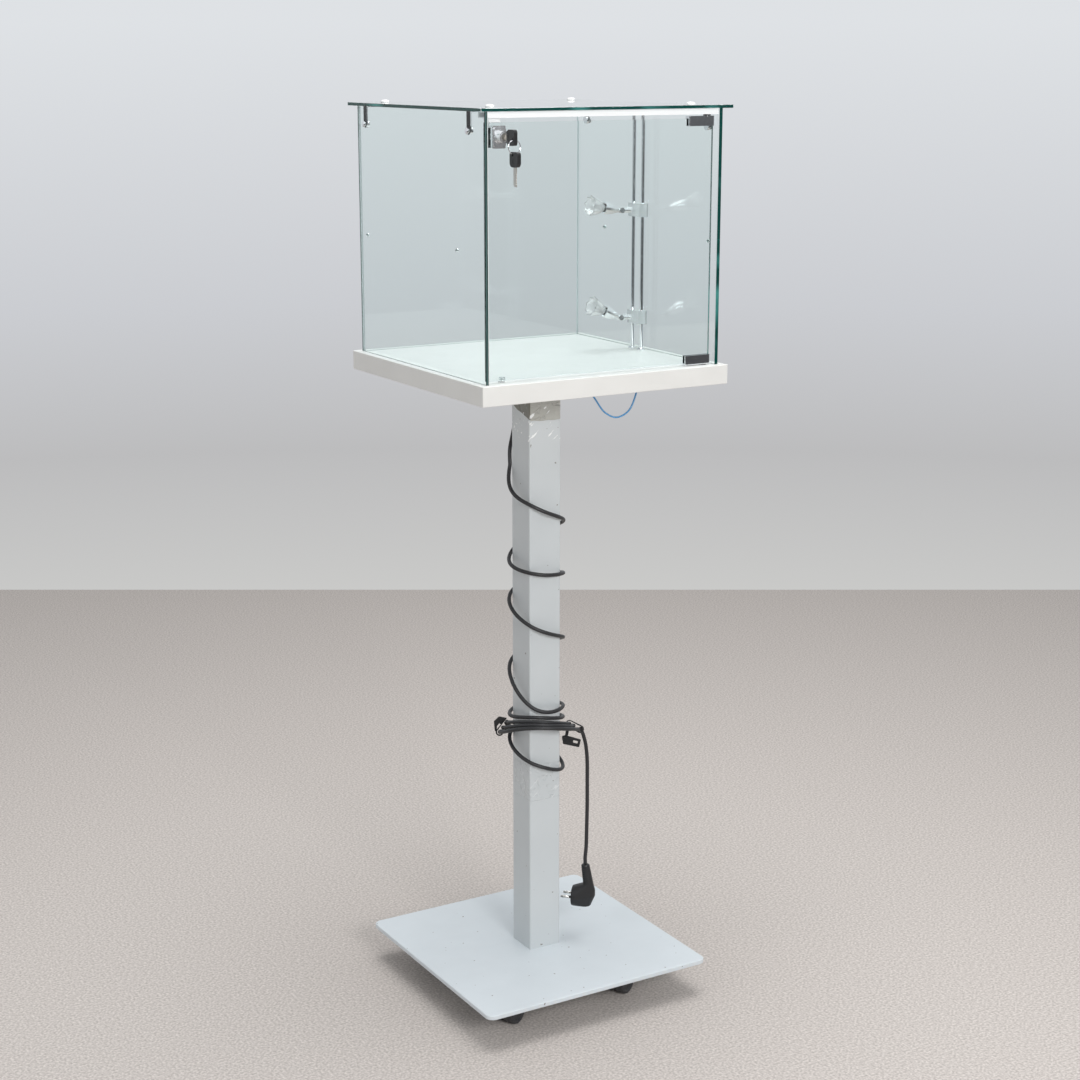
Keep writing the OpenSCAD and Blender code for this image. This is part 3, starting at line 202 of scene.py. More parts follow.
# %% [markdown]
# ## The lamps' leads
# Two thin leads run from the transformer to the feet of the rods, which carry the low voltage up
# to the lamps. The blue one sags in a loop under the deck's edge, and the black one stays close to
# it. They are made as the cord is.

# %% Lamp leads
LEAD_D = 3 * MM
BLUE_ROUTE = [
    (85, -8, 1058), (85, -11, 1058), (85, -14, 1058), (88, -20, 1053), (96, -18, 1040),
    (108, -14, 1025), (126, -13, 1003), (150, -13, 992), (174, -13, 1001), (187, -13, 1024),
    (194, -13.5, 1052), (196, -13.5, 1058), (196, -13.5, 1062), (196, -13.5, 1066)]
BLACK_ROUTE = [
    (95, -8, 1058), (95, -11, 1058), (95, -14, 1058), (100, -20, 1053), (112, -20, 1046),
    (130, -13, 1038), (152, -3, 1033), (172, 6, 1033), (187, 11, 1040), (194, 13.5, 1052),
    (196, 13.5, 1058), (196, 13.5, 1062), (196, 13.5, 1066)]
leads = []
for name, route in (("blue_lead", BLUE_ROUTE), ("black_lead", BLACK_ROUTE)):
    path = smooth_path([from_post(*p) for p in route], PARTS)
    lead = round_cord(name, path, LEAD_D)
    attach(lead, "root")
    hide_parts("lamp_leads")
    leads.append(lead)
    print(name, round(length_of(path), 3), "m")

# %% [markdown]
# ## Floor, backdrop and light
# The floor is one plain pale sheet that ends behind the object, and the grey beyond it is the
# world. Rays that look, or that metal and glass send on, see that grey with a soft change from
# top to bottom. Rays that light the object see a plain dim white, so the level on the object
# doesn't hang on the backdrop's colour. What a surface mirrors from behind the viewer, up to eye
# level, is a dark room: bright metal only reads as metal when it has something dark to show.

# %% Floor
FLOOR_HALF = 2.65
FLOOR_COLOUR = (0.715, 0.663, 0.627, 1)
SPECK_COLOUR = (0.420, 0.380, 0.354, 1)

floor_data = bpy.data.meshes.new("floor")
to_camera = Matrix.Rotation(-math.radians(CAMERA_TURN), 3, "Z")
corners = [to_camera @ Vector((x, y, 0)) * FLOOR_HALF
           for x, y in ((-1, -1), (1, -1), (1, 1), (-1, 1))]
floor_data.from_pydata([tuple(c) for c in corners], [], [(0, 1, 2, 3)])
floor = put("floor", floor_data)
print("floor", 2 * FLOOR_HALF, "m square")

# %% [markdown]
# A finish is a net of shader nodes. Clicking them together by hand can't be repeated, so each step
# that several finishes need is a small function here.

# %% Helpers for nodes
def new_material(name, colour, rough, metal=0.0, others=None):
    """A material with one Principled shader, and its tree and shader."""
    material = bpy.data.materials.new(name)
    material.use_nodes = True
    tree = material.node_tree
    shader = tree.nodes["Principled BSDF"]
    values = {"Base Color": (*colour[:3], 1), "Roughness": rough, "Metallic": metal}
    for socket, value in (values | (others or {})).items():
        shader.inputs[socket].default_value = value
    return material, tree, shader


def add(tree, kind):
    """A new shader node."""
    return tree.nodes.new("ShaderNode" + kind)


def place_of(tree):
    """A piece's own coordinates, in metres, which stay with it when it moves."""
    return add(tree, "TexCoord").outputs["Object"]


def facing_of(tree):
    """The way in which a piece's surface faces, along the piece's own axes."""
    return add(tree, "TexCoord").outputs["Normal"]


def axes_of(tree, vector):
    """A vector's three numbers, under the names X, Y and Z."""
    split = add(tree, "SeparateXYZ")
    tree.links.new(vector, split.inputs["Vector"])
    return split.outputs


print("axes ready")

# %% Helpers for noise, numbers and colours
def grain(tree, per_metre, detail, stretch=(1, 1, 1), lean=(0, 0, 0)):
    """Soft noise with so many grains to the metre, drawn out along axes that may lean."""
    shape = add(tree, "Mapping")
    shape.vector_type = "TEXTURE"
    shape.inputs["Scale"].default_value = stretch
    shape.inputs["Rotation"].default_value = [math.radians(angle) for angle in lean]
    tree.links.new(place_of(tree), shape.inputs["Vector"])
    noise = add(tree, "TexNoise")
    noise.inputs["Scale"].default_value = per_metre
    noise.inputs["Detail"].default_value = detail
    tree.links.new(shape.outputs["Vector"], noise.inputs["Vector"])
    return noise.outputs["Fac"]


def ramp(tree, source, low, high, start=0.0, end=1.0):
    """A number from low to high as the source goes from start to end."""
    change = add(tree, "MapRange")
    for socket, value in (("From Min", start), ("From Max", end), ("To Min", low), ("To Max", high)):
        change.inputs[socket].default_value = value
    tree.links.new(source, change.inputs["Value"])
    return change.outputs["Result"]


def calc(tree, operation, a, b=None, c=None):
    """A sum or comparison of up to three sockets or numbers."""
    node = add(tree, "Math")
    node.operation = operation
    for socket, value in zip(node.inputs, (a, b, c)):
        if isinstance(value, bpy.types.NodeSocket):
            tree.links.new(value, socket)
        elif value is not None:
            socket.default_value = value
    return node.outputs["Value"]


def mixed(tree, share, a, b):
    """Colour a, going over to colour b by the share. Each is a colour or a socket."""
    mix = add(tree, "Mix")
    mix.data_type = "RGBA"
    tree.links.new(share, mix.inputs["Factor"])
    for socket, value in ((mix.inputs[6], a), (mix.inputs[7], b)):
        if isinstance(value, bpy.types.NodeSocket):
            tree.links.new(value, socket)
        else:
            socket.default_value = (*value[:3], 1)
    return mix.outputs[2]


def paint(tree, shader, share, a, b):
    """The surface's colour, from a to b by the share."""
    tree.links.new(mixed(tree, share, a, b), shader.inputs["Base Color"])


def colours_along(tree, source, table, interpolation="LINEAR"):
    """Colours from a table of places and colours, as the source goes from 0 to 1."""
    sweep = add(tree, "ValToRGB")
    sweep.color_ramp.interpolation = interpolation
    for place, colour in table[1:-1]:
        sweep.color_ramp.elements.new(place)
    for stop, (place, colour) in zip(sweep.color_ramp.elements, table):
        stop.position = place
        stop.color = (*colour, 1)
    tree.links.new(source, sweep.inputs["Fac"])
    return sweep.outputs["Color"]


print("colours ready")

# %% Helpers for finishes
def roughen(tree, shader, per_metre, detail, low, high, start=0.3, end=0.7):
    """Roughness that wanders from low to high with a grain."""
    rough = ramp(tree, grain(tree, per_metre, detail), low, high, start, end)
    tree.links.new(rough, shader.inputs["Roughness"])


def add_bump(tree, shader, height, strength, distance):
    """Relief on the surface, with its real depth as the distance."""
    bump = add(tree, "Bump")
    bump.inputs["Strength"].default_value = strength
    bump.inputs["Distance"].default_value = distance
    tree.links.new(height, bump.inputs["Height"])
    tree.links.new(bump.outputs["Normal"], shader.inputs["Normal"])


def dress(material, slot_name, *names):
    """Puts a material on construction nodes."""
    for name in names:
        node = nodes[name]
        node.data.materials.clear()
        node.data.materials.append(material)


def finish(name, colour, metal, rough, relief):
    """A material of one colour. Rough is grains to the metre, detail, low and high; relief is
    grains to the metre, detail, strength and depth."""
    material, tree, shader = new_material(name, colour, rough[2], metal)
    roughen(tree, shader, *rough)
    add_bump(tree, shader, grain(tree, *relief[:2]), *relief[2:])
    return material


print("finishes ready")

# %% Floor's colour
floor_paint, tree, shader = new_material("floor_paint", FLOOR_COLOUR, 0.9)
speck = ramp(tree, grain(tree, 230, 4), 0, 1, 0.3, 0.7)
paint(tree, shader, speck, FLOOR_COLOUR, SPECK_COLOUR)
floor.data.materials.append(floor_paint)
print("floor painted")

# %% Backdrop
BACKDROP_LOW, BACKDROP_HIGH = -0.28, 0.04  # sine of the angle above the horizon
BACKDROP = [  # place between them, colour
    (0.06, (0.590, 0.590, 0.580)), (0.28, (0.505, 0.505, 0.512)), (0.50, (0.597, 0.610, 0.640)),
    (0.92, (0.735, 0.758, 0.785))]

world = bpy.data.worlds.new("world")
bpy.context.scene.world = world
world.use_nodes = True
tree = world.node_tree
tree.nodes.clear()
way = add(tree, "TexCoord").outputs["Generated"]
rise = axes_of(tree, way)["Z"]
backdrop = colours_along(tree, ramp(tree, rise, 0, 1, BACKDROP_LOW, BACKDROP_HIGH), BACKDROP)
print("backdrop of", len(BACKDROP), "colours")

# %% What is mirrored, and what lights
DARK_ROOM = 0.12  # share of the backdrop's light
ROOM_BEHIND = (-0.1, 0.42)  # cosine of the angle from straight behind, for light and dark
ROOM_RISE = (-0.05, 0.25)  # sine of the angle above the horizon, for dark and light
LIGHT_COLOUR = (0.96, 0.98, 1.0, 1)
LIGHT_LEVEL = 0.46

back = add(tree, "VectorMath")
back.operation = "DOT_PRODUCT"
tree.links.new(way, back.inputs[0])
turn = math.radians(CAMERA_TURN)
back.inputs[1].default_value = (-math.sin(turn), -math.cos(turn), 0)
ray = add(tree, "LightPath").outputs
room = ramp(tree, back.outputs["Value"], 1, DARK_ROOM, *ROOM_BEHIND)
room = calc(tree, "MAXIMUM", room, ramp(tree, rise, DARK_ROOM, 1, *ROOM_RISE))
mirrored = calc(tree, "GREATER_THAN", ray["Glossy Depth"], 0.5)
dim = calc(tree, "MULTIPLY_ADD", mirrored, calc(tree, "SUBTRACT", room, 1.0), 1.0)
seen = add(tree, "Background")
tree.links.new(backdrop, seen.inputs["Color"])
tree.links.new(dim, seen.inputs["Strength"])
lighting = add(tree, "Background")
lighting.inputs["Color"].default_value = LIGHT_COLOUR
lighting.inputs["Strength"].default_value = LIGHT_LEVEL
looking = calc(tree, "MAXIMUM", ray["Is Camera Ray"], ray["Is Glossy Ray"])
looking = calc(tree, "MAXIMUM", looking, ray["Is Transmission Ray"])
choose = add(tree, "MixShader")
tree.links.new(looking, choose.inputs["Fac"])
tree.links.new(lighting.outputs["Background"], choose.inputs[1])
tree.links.new(seen.outputs["Background"], choose.inputs[2])
out = add(tree, "OutputWorld")
tree.links.new(choose.outputs["Shader"], out.inputs["Surface"])
print("world lit at", LIGHT_LEVEL)

# %% [markdown]
# Three big soft lamps stand round the case: a strong one in front, to the viewer's right, which
# makes the post's front lighter than its left side, one overhead, and a weak one on the left.
# Large lamps give the soft shadow under the plate and long clean highlights on the chrome. The
# front lamp is flat and hangs above the case, so that from behind it isn't seen through the glass.

# %% Lamps
LAMPS = [  # name, place, width, height, watts
    ("key_lamp", (-0.45, -3.2, 1.86), 1.2, 0.72, 50),
    ("top_lamp", (0.15, -0.1, 3.6), 2.2, 2.2, 77),
    ("left_lamp", (-3.0, -0.2, 1.7), 1.2, 1.2, 3)]
AIM = Vector((0, 0, 0.8))
for name, place, width, height, watts in LAMPS:
    lamp_data = bpy.data.lights.new(name, "AREA")
    lamp_data.shape = "RECTANGLE"
    lamp_data.size = width
    lamp_data.size_y = height
    lamp_data.energy = watts
    lamp = put(name, lamp_data)
    lamp.location = place
    lamp.rotation_euler = (AIM - Vector(place)).to_track_quat("-Z", "Y").to_euler()
print("lamps:", [lamp[0] for lamp in LAMPS])

# %% [markdown]
# ## Powder coat
# Plate, post and head plate are steel with a pale blue-grey powder coat: a satin skin with a faint
# orange peel, patches a little darker or duller, and small chips. An image could hold all that, but
# noise in the piece's own coordinates needs no unwrapping and stays sharp close up.

# %% Powder coat
PLATE_COLOURS = ((0.700, 0.755, 0.790), (0.660, 0.712, 0.745))
POST_COLOURS = ((0.620, 0.655, 0.668), (0.588, 0.620, 0.635))
CHIP_COLOUR = (0.26, 0.25, 0.24)


def coat(name, colours):
    """Powder coat: its tree, shader, and the sockets of its colour, roughness and relief."""
    material, tree, shader = new_material(name, colours[0], 0.42)
    cloud = ramp(tree, grain(tree, 9, 3), 0, 1, 0.35, 0.75)
    base = mixed(tree, cloud, *colours)
    chip = ramp(tree, grain(tree, 130, 1), 0, 1, 0.775, 0.79)
    colour = mixed(tree, chip, base, CHIP_COLOUR)
    rough = ramp(tree, grain(tree, 40, 4), 0.36, 0.52, 0.3, 0.7)
    return material, tree, shader, colour, rough, grain(tree, 700, 2)


powder_coat, tree, shader, colour, rough, peel = coat("powder_coat", PLATE_COLOURS)
tree.links.new(colour, shader.inputs["Base Color"])
tree.links.new(rough, shader.inputs["Roughness"])
add_bump(tree, shader, peel, 0.25, 0.00012)
dress(powder_coat, "powder_coat", "base_plate", "post_head")
print("powder coat on two nodes")

# %% [markdown]
# Somebody has wrapped clear packing tape round the post twice: right under the deck and below the
# bundle. It lies flat against the steel, so it isn't worth a mesh. In two bands of height the post
# turns glossy. The upper band is also painted darker and warmer, as the deck's painted shadow, and
# darker still on the left side, as painted shade. Crossing ridges are wrinkles, and thin leaning
# streaks of near white in the colour are painted glints on the creases.

# %% Where the tape and its painted shade lie
# The upper band holds tape, and in its colour the deck's painted shadow.
UPPER_TAPE_AND_SHADOW = (1.004, 1.068)  # lower and upper edge, metres above the floor
LOWER_TAPE = (0.343, 0.407)
# Painted glints are laid in this band, right under the deck.
PAINTED_GLINT_BAND = (0.970, 1.068)
EDGE_WAVE = 0.006  # how far a tape's edge wanders
# On the left side the band's lower edge, and with it the painted shade, sits higher: by the first at
# the front and the second at the back.
LEFT_SHADE_RISE = (0.002, 0.022)  # of the old tape's edge on the left side, front and back

post_coat, tree, shader, colour, rough, peel = coat("post_coat", POST_COLOURS)
own = axes_of(tree, place_of(tree))
wavy = calc(tree, "MULTIPLY_ADD", grain(tree, 45, 2), EDGE_WAVE, own["Z"])


def banded(tree, height, band):
    """1 where the height lies in the band."""
    low, high = [edge + EDGE_WAVE / 2 for edge in band]
    return calc(tree, "MULTIPLY", calc(tree, "GREATER_THAN", height, low),
                calc(tree, "LESS_THAN", height, high))


# Faces that look left get painted shade in the upper band.
shaded_left_side = calc(tree, "LESS_THAN", axes_of(tree, facing_of(tree))["X"], -0.5)
slope = ramp(tree, own["Y"], *LEFT_SHADE_RISE, post_low.y, post_high.y)
higher = calc(tree, "SUBTRACT", wavy, calc(tree, "MULTIPLY", shaded_left_side, slope))
upper_tape_and_shadow = banded(tree, higher, UPPER_TAPE_AND_SHADOW)
new_tape = banded(tree, wavy, LOWER_TAPE)
tape = calc(tree, "MAXIMUM", upper_tape_and_shadow, new_tape)
print("tape bands:", UPPER_TAPE_AND_SHADOW, LOWER_TAPE)

# %% How the tape looks, with its painted shade and glints
# Colours painted into the tape bands: the deck's painted shadow, painted shade on the left side, and
# near-white painted glints.
DECK_SHADOW_ON_TAPE = (0.490, 0.490, 0.455)
LEFT_SHADE_ON_TAPE = (0.200, 0.195, 0.165)
PAINTED_TAPE_GLINT = (0.93, 0.94, 0.94)
TAPE_ROUGH = 0.08
TAPE_DEPTH = 0.0025
NEW_GLINTS, NEW_DEPTH = 0.35, 0.4  # the new tape's share of the old one's
PEEL_DEPTH = 0.01  # the coat's share of the tape's depth

wrinkles = add(tree, "TexNoise")
wrinkles.noise_type = "RIDGED_MULTIFRACTAL"
for socket, value in (("Scale", 80), ("Detail", 4), ("Offset", 1.0), ("Distortion", 0.6)):
    wrinkles.inputs[socket].default_value = value
tree.links.new(place_of(tree), wrinkles.inputs["Vector"])
creases = ramp(tree, wrinkles.outputs["Fac"], 0, 1, 0.2, 0.8)
# The upper band's colour: the deck's painted shadow, darker on the left side as painted shade.
taped_and_shaded = mixed(tree, upper_tape_and_shadow, colour, mixed(tree, shaded_left_side, DECK_SHADOW_ON_TAPE, LEFT_SHADE_ON_TAPE))
# Painted glints: thin leaning streaks of near white in the base colour, weaker in the lower band.
glint_streaks = grain(tree, 170, 3, (1, 1, 5), (0, 52, 0))
new_tape_glint_area = calc(tree, "MULTIPLY", new_tape, NEW_GLINTS)
glint_area = calc(tree, "MAXIMUM", banded(tree, wavy, PAINTED_GLINT_BAND), new_tape_glint_area)
glint = calc(tree, "MULTIPLY", glint_area, ramp(tree, glint_streaks, 0, 1, 0.635, 0.67))
paint(tree, shader, glint, taped_and_shaded, PAINTED_TAPE_GLINT)
gloss = calc(tree, "MULTIPLY_ADD", tape, calc(tree, "SUBTRACT", TAPE_ROUGH, rough), rough)
tree.links.new(gloss, shader.inputs["Roughness"])
depth = calc(tree, "MAXIMUM", upper_tape_and_shadow, calc(tree, "MULTIPLY", new_tape, NEW_DEPTH))
relief = calc(tree, "MULTIPLY_ADD", depth, creases, calc(tree, "MULTIPLY", peel, PEEL_DEPTH))
add_bump(tree, shader, relief, 1.0, TAPE_DEPTH)
dress(post_coat, "powder_coat", "post")
print("post coated and taped")

# %% [markdown]
# ## Deck
# The deck is a board with an off-white lacquer, smooth to the eye. It is a shade warmer than the
# steel, with a satin gloss in which the lamps stay soft.

# %% Deck lacquer
DECK_COLOUR = (0.785, 0.778, 0.750)
DECK_SHADE = (0.755, 0.748, 0.720)

lacquer, tree, shader = new_material("lacquer", DECK_COLOUR, 0.38)
cloud = ramp(tree, grain(tree, 14, 4), 0, 1, 0.35, 0.7)
paint(tree, shader, cloud, DECK_COLOUR, DECK_SHADE)
roughen(tree, shader, 30, 3, 0.32, 0.46)
add_bump(tree, shader, grain(tree, 900, 2), 0.15, 0.00008)
dress(lacquer, "deck_white", "deck")
print("deck lacquered")

# %% [markdown]
# ## Glass
# Float glass looks clear through its face and dark green through its edge, because light runs a
# long way inside the pane there. A volume that soaks up red light would do both, but it needs many
# bounces and turns grainy. Here the face is clear glass with a breath of green, and every face
# that looks along the pane, such as an edge, is a dark green glass of its own. Glued joints at
# the back and the ground walls of the holes are pale, as they pass light on. The left pane's front
# edge is painted in stripes, dark green and grey-green, with a near-white painted highlight along
# its inner side. Light from the lamps passes the faces by way of a tinted Transparent shader.

# %% Glass panes
FACE_TINT = (0.950, 0.992, 0.984)
SHADE_TINT = (0.880, 0.915, 0.925)
EDGE_TINT = (0.004, 0.062, 0.052)
EDGE_LIGHT = (0.075, 0.330, 0.300)
JOINT_TINT = (0.900, 0.950, 0.945)
# The first stripe, near white on the inner side, is a painted highlight; the others are dark green
# and grey-green.
EDGE_STRIPES_AND_HIGHLIGHT = [  # share of the way across from the inner side, colour
    (0.0, (0.80, 0.86, 0.85)), (0.20, (0.010, 0.030, 0.028)), (0.45, (0.100, 0.180, 0.170)),
    (0.75, (0.012, 0.022, 0.022))]
GLASS_IOR = 1.4
EDGE_CLEAR, EDGE_ROUGH = 0.15, 0.12
SQUARE_ON = 0.97  # least cosine of a face that looks along an axis


def pane_glass(name, thin_axis, dark_edges, stripe_span=None):
    """Glass for a pane that is thin along one axis, with dark edges along others, by their sign.
    A stripe span is where its edge's painted stripes and painted highlight start and end."""
    material, tree, shader = new_material(name, FACE_TINT, 0.0, others={"IOR": GLASS_IOR})
    facing = axes_of(tree, facing_of(tree))
    edge = calc(tree, "LESS_THAN", calc(tree, "ABSOLUTE", facing[thin_axis]), 0.5)
    dark = 0.0
    for axis, sign in dark_edges:
        along = calc(tree, "MULTIPLY", facing[axis], sign)
        dark = calc(tree, "MAXIMUM", dark, calc(tree, "GREATER_THAN", along, SQUARE_ON))
    # The left pane's edge gets painted stripes, with a painted highlight on its inner side.
    if stripe_span:
        across = ramp(tree, axes_of(tree, place_of(tree))[thin_axis], 0, 1, *stripe_span)
        dark_colour = colours_along(tree, across, EDGE_STRIPES_AND_HIGHLIGHT, "CONSTANT")
    else:
        streak = ramp(tree, grain(tree, 12, 2), 0, 1, 0.55, 0.72)
        dark_colour = mixed(tree, streak, EDGE_TINT, EDGE_LIGHT)
    edge_colour = mixed(tree, dark, JOINT_TINT, dark_colour)
    paint(tree, shader, edge, FACE_TINT, edge_colour)
    tree.links.new(ramp(tree, edge, 1.0, EDGE_CLEAR), shader.inputs["Transmission Weight"])
    tree.links.new(ramp(tree, edge, 0.0, EDGE_ROUGH), shader.inputs["Roughness"])
    through = add(tree, "BsdfTransparent")
    through.inputs["Color"].default_value = (*SHADE_TINT, 1)
    light = add(tree, "LightPath").outputs
    soft = calc(tree, "MAXIMUM", light["Is Shadow Ray"], light["Is Diffuse Ray"])
    lets = calc(tree, "MULTIPLY", soft, calc(tree, "SUBTRACT", 1.0, edge))
    mix = add(tree, "MixShader")
    tree.links.new(lets, mix.inputs["Fac"])
    tree.links.new(shader.outputs["BSDF"], mix.inputs[1])
    tree.links.new(through.outputs["BSDF"], mix.inputs[2])
    tree.links.new(mix.outputs["Shader"], tree.nodes["Material Output"].inputs["Surface"])
    return material


ALL_ROUND = [("X", 1), ("X", -1), ("Y", 1), ("Y", -1)]
left_low, left_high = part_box("left_glass")
left_stripe_span = (left_high.x, left_low.x)
dress(pane_glass("left_pane_glass", "X", [("Y", -1)], left_stripe_span), "glass", "left_glass")
dress(pane_glass("right_pane_glass", "X", [("Y", -1)]), "glass", "right_glass")
dress(pane_glass("back_pane_glass", "Y", [("Z", 1)]), "glass", "back_glass")
dress(pane_glass("door_pane_glass", "Y", ALL_ROUND), "glass", "door_glass")
dress(pane_glass("lid_glass", "Z", ALL_ROUND), "glass", "top_glass")
print("five panes glazed")

# %% [markdown]
# ## Metals
# The fittings are polished chrome, the hidden ones bright zinc. Chrome is nearly a mirror, and what
# it needs most is something to mirror, so its own detail is small: fine wipe marks in its
# roughness. The lamp heads have a satin plating, which blurs what it mirrors. Their arms and knobs
# and the lock case are cast and plated thinly, halfway to silver paint. Zinc is greyer, with a
# soft grain.

# %% Chrome and zinc
CHROME_COLOUR = (0.78, 0.79, 0.81)
SATIN_COLOUR = (0.93, 0.94, 0.95)
ZINC_COLOUR = (0.56, 0.57, 0.58)
NICKEL_SILVER = (0.66, 0.64, 0.60)
WAVES = (60, 1, 0.08, 0.0002)

chrome = finish("chrome", CHROME_COLOUR, 1.0, (300, 4, 0.05, 0.16, 0.35, 0.75), WAVES)
dress(chrome, "chrome", "top_brackets", "bracket_screws", "light_rods", "rod_sockets",
      "upper_hinge", "lower_hinge", "key_ring")

satin = finish("satin_chrome", SATIN_COLOUR, 1.0, (300, 3, 0.14, 0.22), WAVES)
dress(satin, "chrome", "upper_head", "lower_head")

plated = finish("plated", SATIN_COLOUR, 0.85, (120, 3, 0.08, 0.20), (90, 2, 0.15, 0.0004))
dress(plated, "chrome", "lock_case", "upper_knob", "lower_knob", "upper_arm", "lower_arm")

zinc = finish("zinc", ZINC_COLOUR, 1.0, (500, 3, 0.28, 0.48), (1200, 2, 0.2, 0.0001))
dress(zinc, "zinc", "fixing_screws", "caster_sockets", "post_foot", "door_screws", "lock_bolt")

lock_metal, tree, shader = new_material("plug_metal", NICKEL_SILVER, 0.25, 1.0)
roughen(tree, shader, 800, 3, 0.2, 0.4)
dress(lock_metal, "brass_plug", "lock_cylinder")
print("metals done")

# %% [markdown]
# Nothing that was pressed, cast or sawn has a knife edge. A narrow bevel on the hinges, the lock,
# the lamp clamps, the boards and the boxes catches a line of light, which is half of what makes
# them look real. The modifier leaves the mesh itself as it was built.

# %% Soft edges
SHARP_ANGLE = 40  # degrees from which an edge is rounded
SOFT_EDGES = {
    0.8: ("upper_hinge", "lower_hinge", "lock_case", "upper_clamp", "lower_clamp"),
    0.6: ("deck", "base_plate", "header_rail", "transformer", "lock_back", "keeper")}


def soften(thing, width):
    """Rounds a piece's edges."""
    bevel = thing.modifiers.new("soft_edges", "BEVEL")
    bevel.width = width
    bevel.segments = 2
    bevel.limit_method = "ANGLE"
    bevel.angle_limit = math.radians(SHARP_ANGLE)


for width, names in SOFT_EDGES.items():
    for name in names:
        soften(nodes[name], width * MM)
print("edges softened on", sum(map(len, SOFT_EDGES.values())), "nodes")

# %% [markdown]
# ## White pieces
# The header rail and the keeper are white anodised aluminium, the caps on the lid white plastic,
# and the transformer a pale moulded box. All are white, but their gloss and grain differ.

# %% Whites
rail_white, tree, shader = new_material("rail_white", (0.95, 0.95, 0.95), 0.35)
add_bump(tree, shader, grain(tree, 1500, 2, (20, 1, 1)), 0.15, 0.00005)
dress(rail_white, "rail_white", "header_rail", "keeper")

cap_white, tree, shader = new_material("cap_white", (0.84, 0.84, 0.83), 0.22)
add_bump(tree, shader, grain(tree, 500, 2), 0.1, 0.0001)
dress(cap_white, "cap_white", "top_caps")

box_white, tree, shader = new_material("box_white", (0.76, 0.76, 0.74), 0.45)
add_bump(tree, shader, grain(tree, 1400, 2), 0.35, 0.0001)
dress(box_white, "transformer_white", "transformer")
print("white pieces done")

# %% [markdown]
# ## Plastics
# The lamp clamps and the door stop are clear moulded plastic, the bushes, casters, lamp holders
# and key bows black. Black plastic is never fully black: a dark grey with a soft sheen and a fine
# spark-eroded grain reads as moulded.

# %% Plastics
BLACK = (0.012, 0.012, 0.013)
WHEEL_GREY = (0.045, 0.045, 0.048)
CLEAR = (0.97, 0.99, 0.99)
# Painted shade: clear plastic is painted this dark where seen at a slant, for the dark outlines of
# its rims.
CLEAR_RIM_SHADE = (0.25, 0.29, 0.29)  # seen at a slant
CORNERS = ("front_left", "front_right", "back_left", "back_right")

clear_plastic, tree, shader = new_material("clear_plastic", CLEAR, 0.05, others={
    "Transmission Weight": 0.65, "IOR": 1.52, "Coat Weight": 1.0})
# Painted shade: the colour goes dark where the surface is seen at a slant.
rim = add(tree, "LayerWeight")
rim.inputs["Blend"].default_value = 0.35
share = ramp(tree, rim.outputs["Facing"], 0, 1, 0.25, 0.95)
paint(tree, shader, share, CLEAR, CLEAR_RIM_SHADE)
add_bump(tree, shader, grain(tree, 200, 2), 0.2, 0.0002)
dress(clear_plastic, "clear_plastic", "door_stop", "upper_clamp", "lower_clamp")

black_plastic = finish("black_plastic", BLACK, 0.0, (200, 3, 0.34, 0.5), (2500, 2, 0.3, 0.00008))
dress(black_plastic, "black_plastic", "pivot_bushes", "mains_gland", "hinge_pads", "lock_back",
      *("caster_" + corner for corner in CORNERS))

tyre = finish("tyre", WHEEL_GREY, 0.0, (150, 4, 0.42, 0.62), (1800, 2, 0.3, 0.0001))
dress(tyre, "wheel_grey", *("wheels_" + corner for corner in CORNERS))
print("plastics done")

# %% [markdown]
# A lamp holder is a bright ring, black above and below the bulb's neck. The material places the
# black: where a point lies well above or below the ring's middle.

# %% Lamp holders
BLACK_ENDS_REACH = 4.6 * MM


def holder_finish(name):
    """Bright metal, black above and below its middle."""
    material, tree, shader = new_material(name + "_finish", SATIN_COLOUR, 0.22)
    low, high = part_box(name)
    height = axes_of(tree, place_of(tree))["Z"]
    away = calc(tree, "ABSOLUTE", calc(tree, "SUBTRACT", height, (low.z + high.z) / 2))
    black_ends = calc(tree, "GREATER_THAN", away, BLACK_ENDS_REACH)
    paint(tree, shader, black_ends, SATIN_COLOUR, BLACK)
    tree.links.new(calc(tree, "SUBTRACT", 1.0, black_ends), shader.inputs["Metallic"])
    add_bump(tree, shader, grain(tree, 900, 2), 0.2, 0.0001)
    return material


for name in ("upper_holder", "lower_holder"):
    dress(holder_finish(name), "black_plastic", name)
print("two holders done")

# %% [markdown]
# ## Keys
# Each key is one piece in the construction, with a nickel blade and a black bow. One material can
# do both: it reads how far along the key a point lies and goes from nickel to plastic at the
# shoulder.

# %% Keys
NICKEL = (0.62, 0.60, 0.56)


def key_finish(name, axis, shoulder, blade_above):
    """Nickel on one side of the shoulder along an axis and black plastic on the other."""
    material, tree, shader = new_material(name, BLACK, 0.35)
    along = axes_of(tree, place_of(tree))[axis]
    blade = calc(tree, "GREATER_THAN" if blade_above else "LESS_THAN", along, shoulder)
    paint(tree, shader, blade, BLACK, NICKEL)
    tree.links.new(blade, shader.inputs["Metallic"])
    add_bump(tree, shader, grain(tree, 1500, 2), 0.3, 0.0001)
    return material


KEY_BOW_LENGTH = 22 * MM
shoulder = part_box("key")[0].y + KEY_BOW_LENGTH
spare_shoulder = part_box("spare_key")[1].z - KEY_BOW_LENGTH
dress(key_finish("key_finish", "Y", shoulder, True), "black_plastic", "key")
dress(key_finish("spare_finish", "Z", spare_shoulder, False), "black_plastic", "spare_key")
print("two keys done")

# %% [markdown]
# ## Cord sheath
# The cord's PVC sheath is black with a dull gloss, and slightly uneven where it was bent.

# %% Sheaths
SHEATH_BLACK = (0.020, 0.020, 0.022)
SHEATH_BLUE = (0.11, 0.33, 0.62)


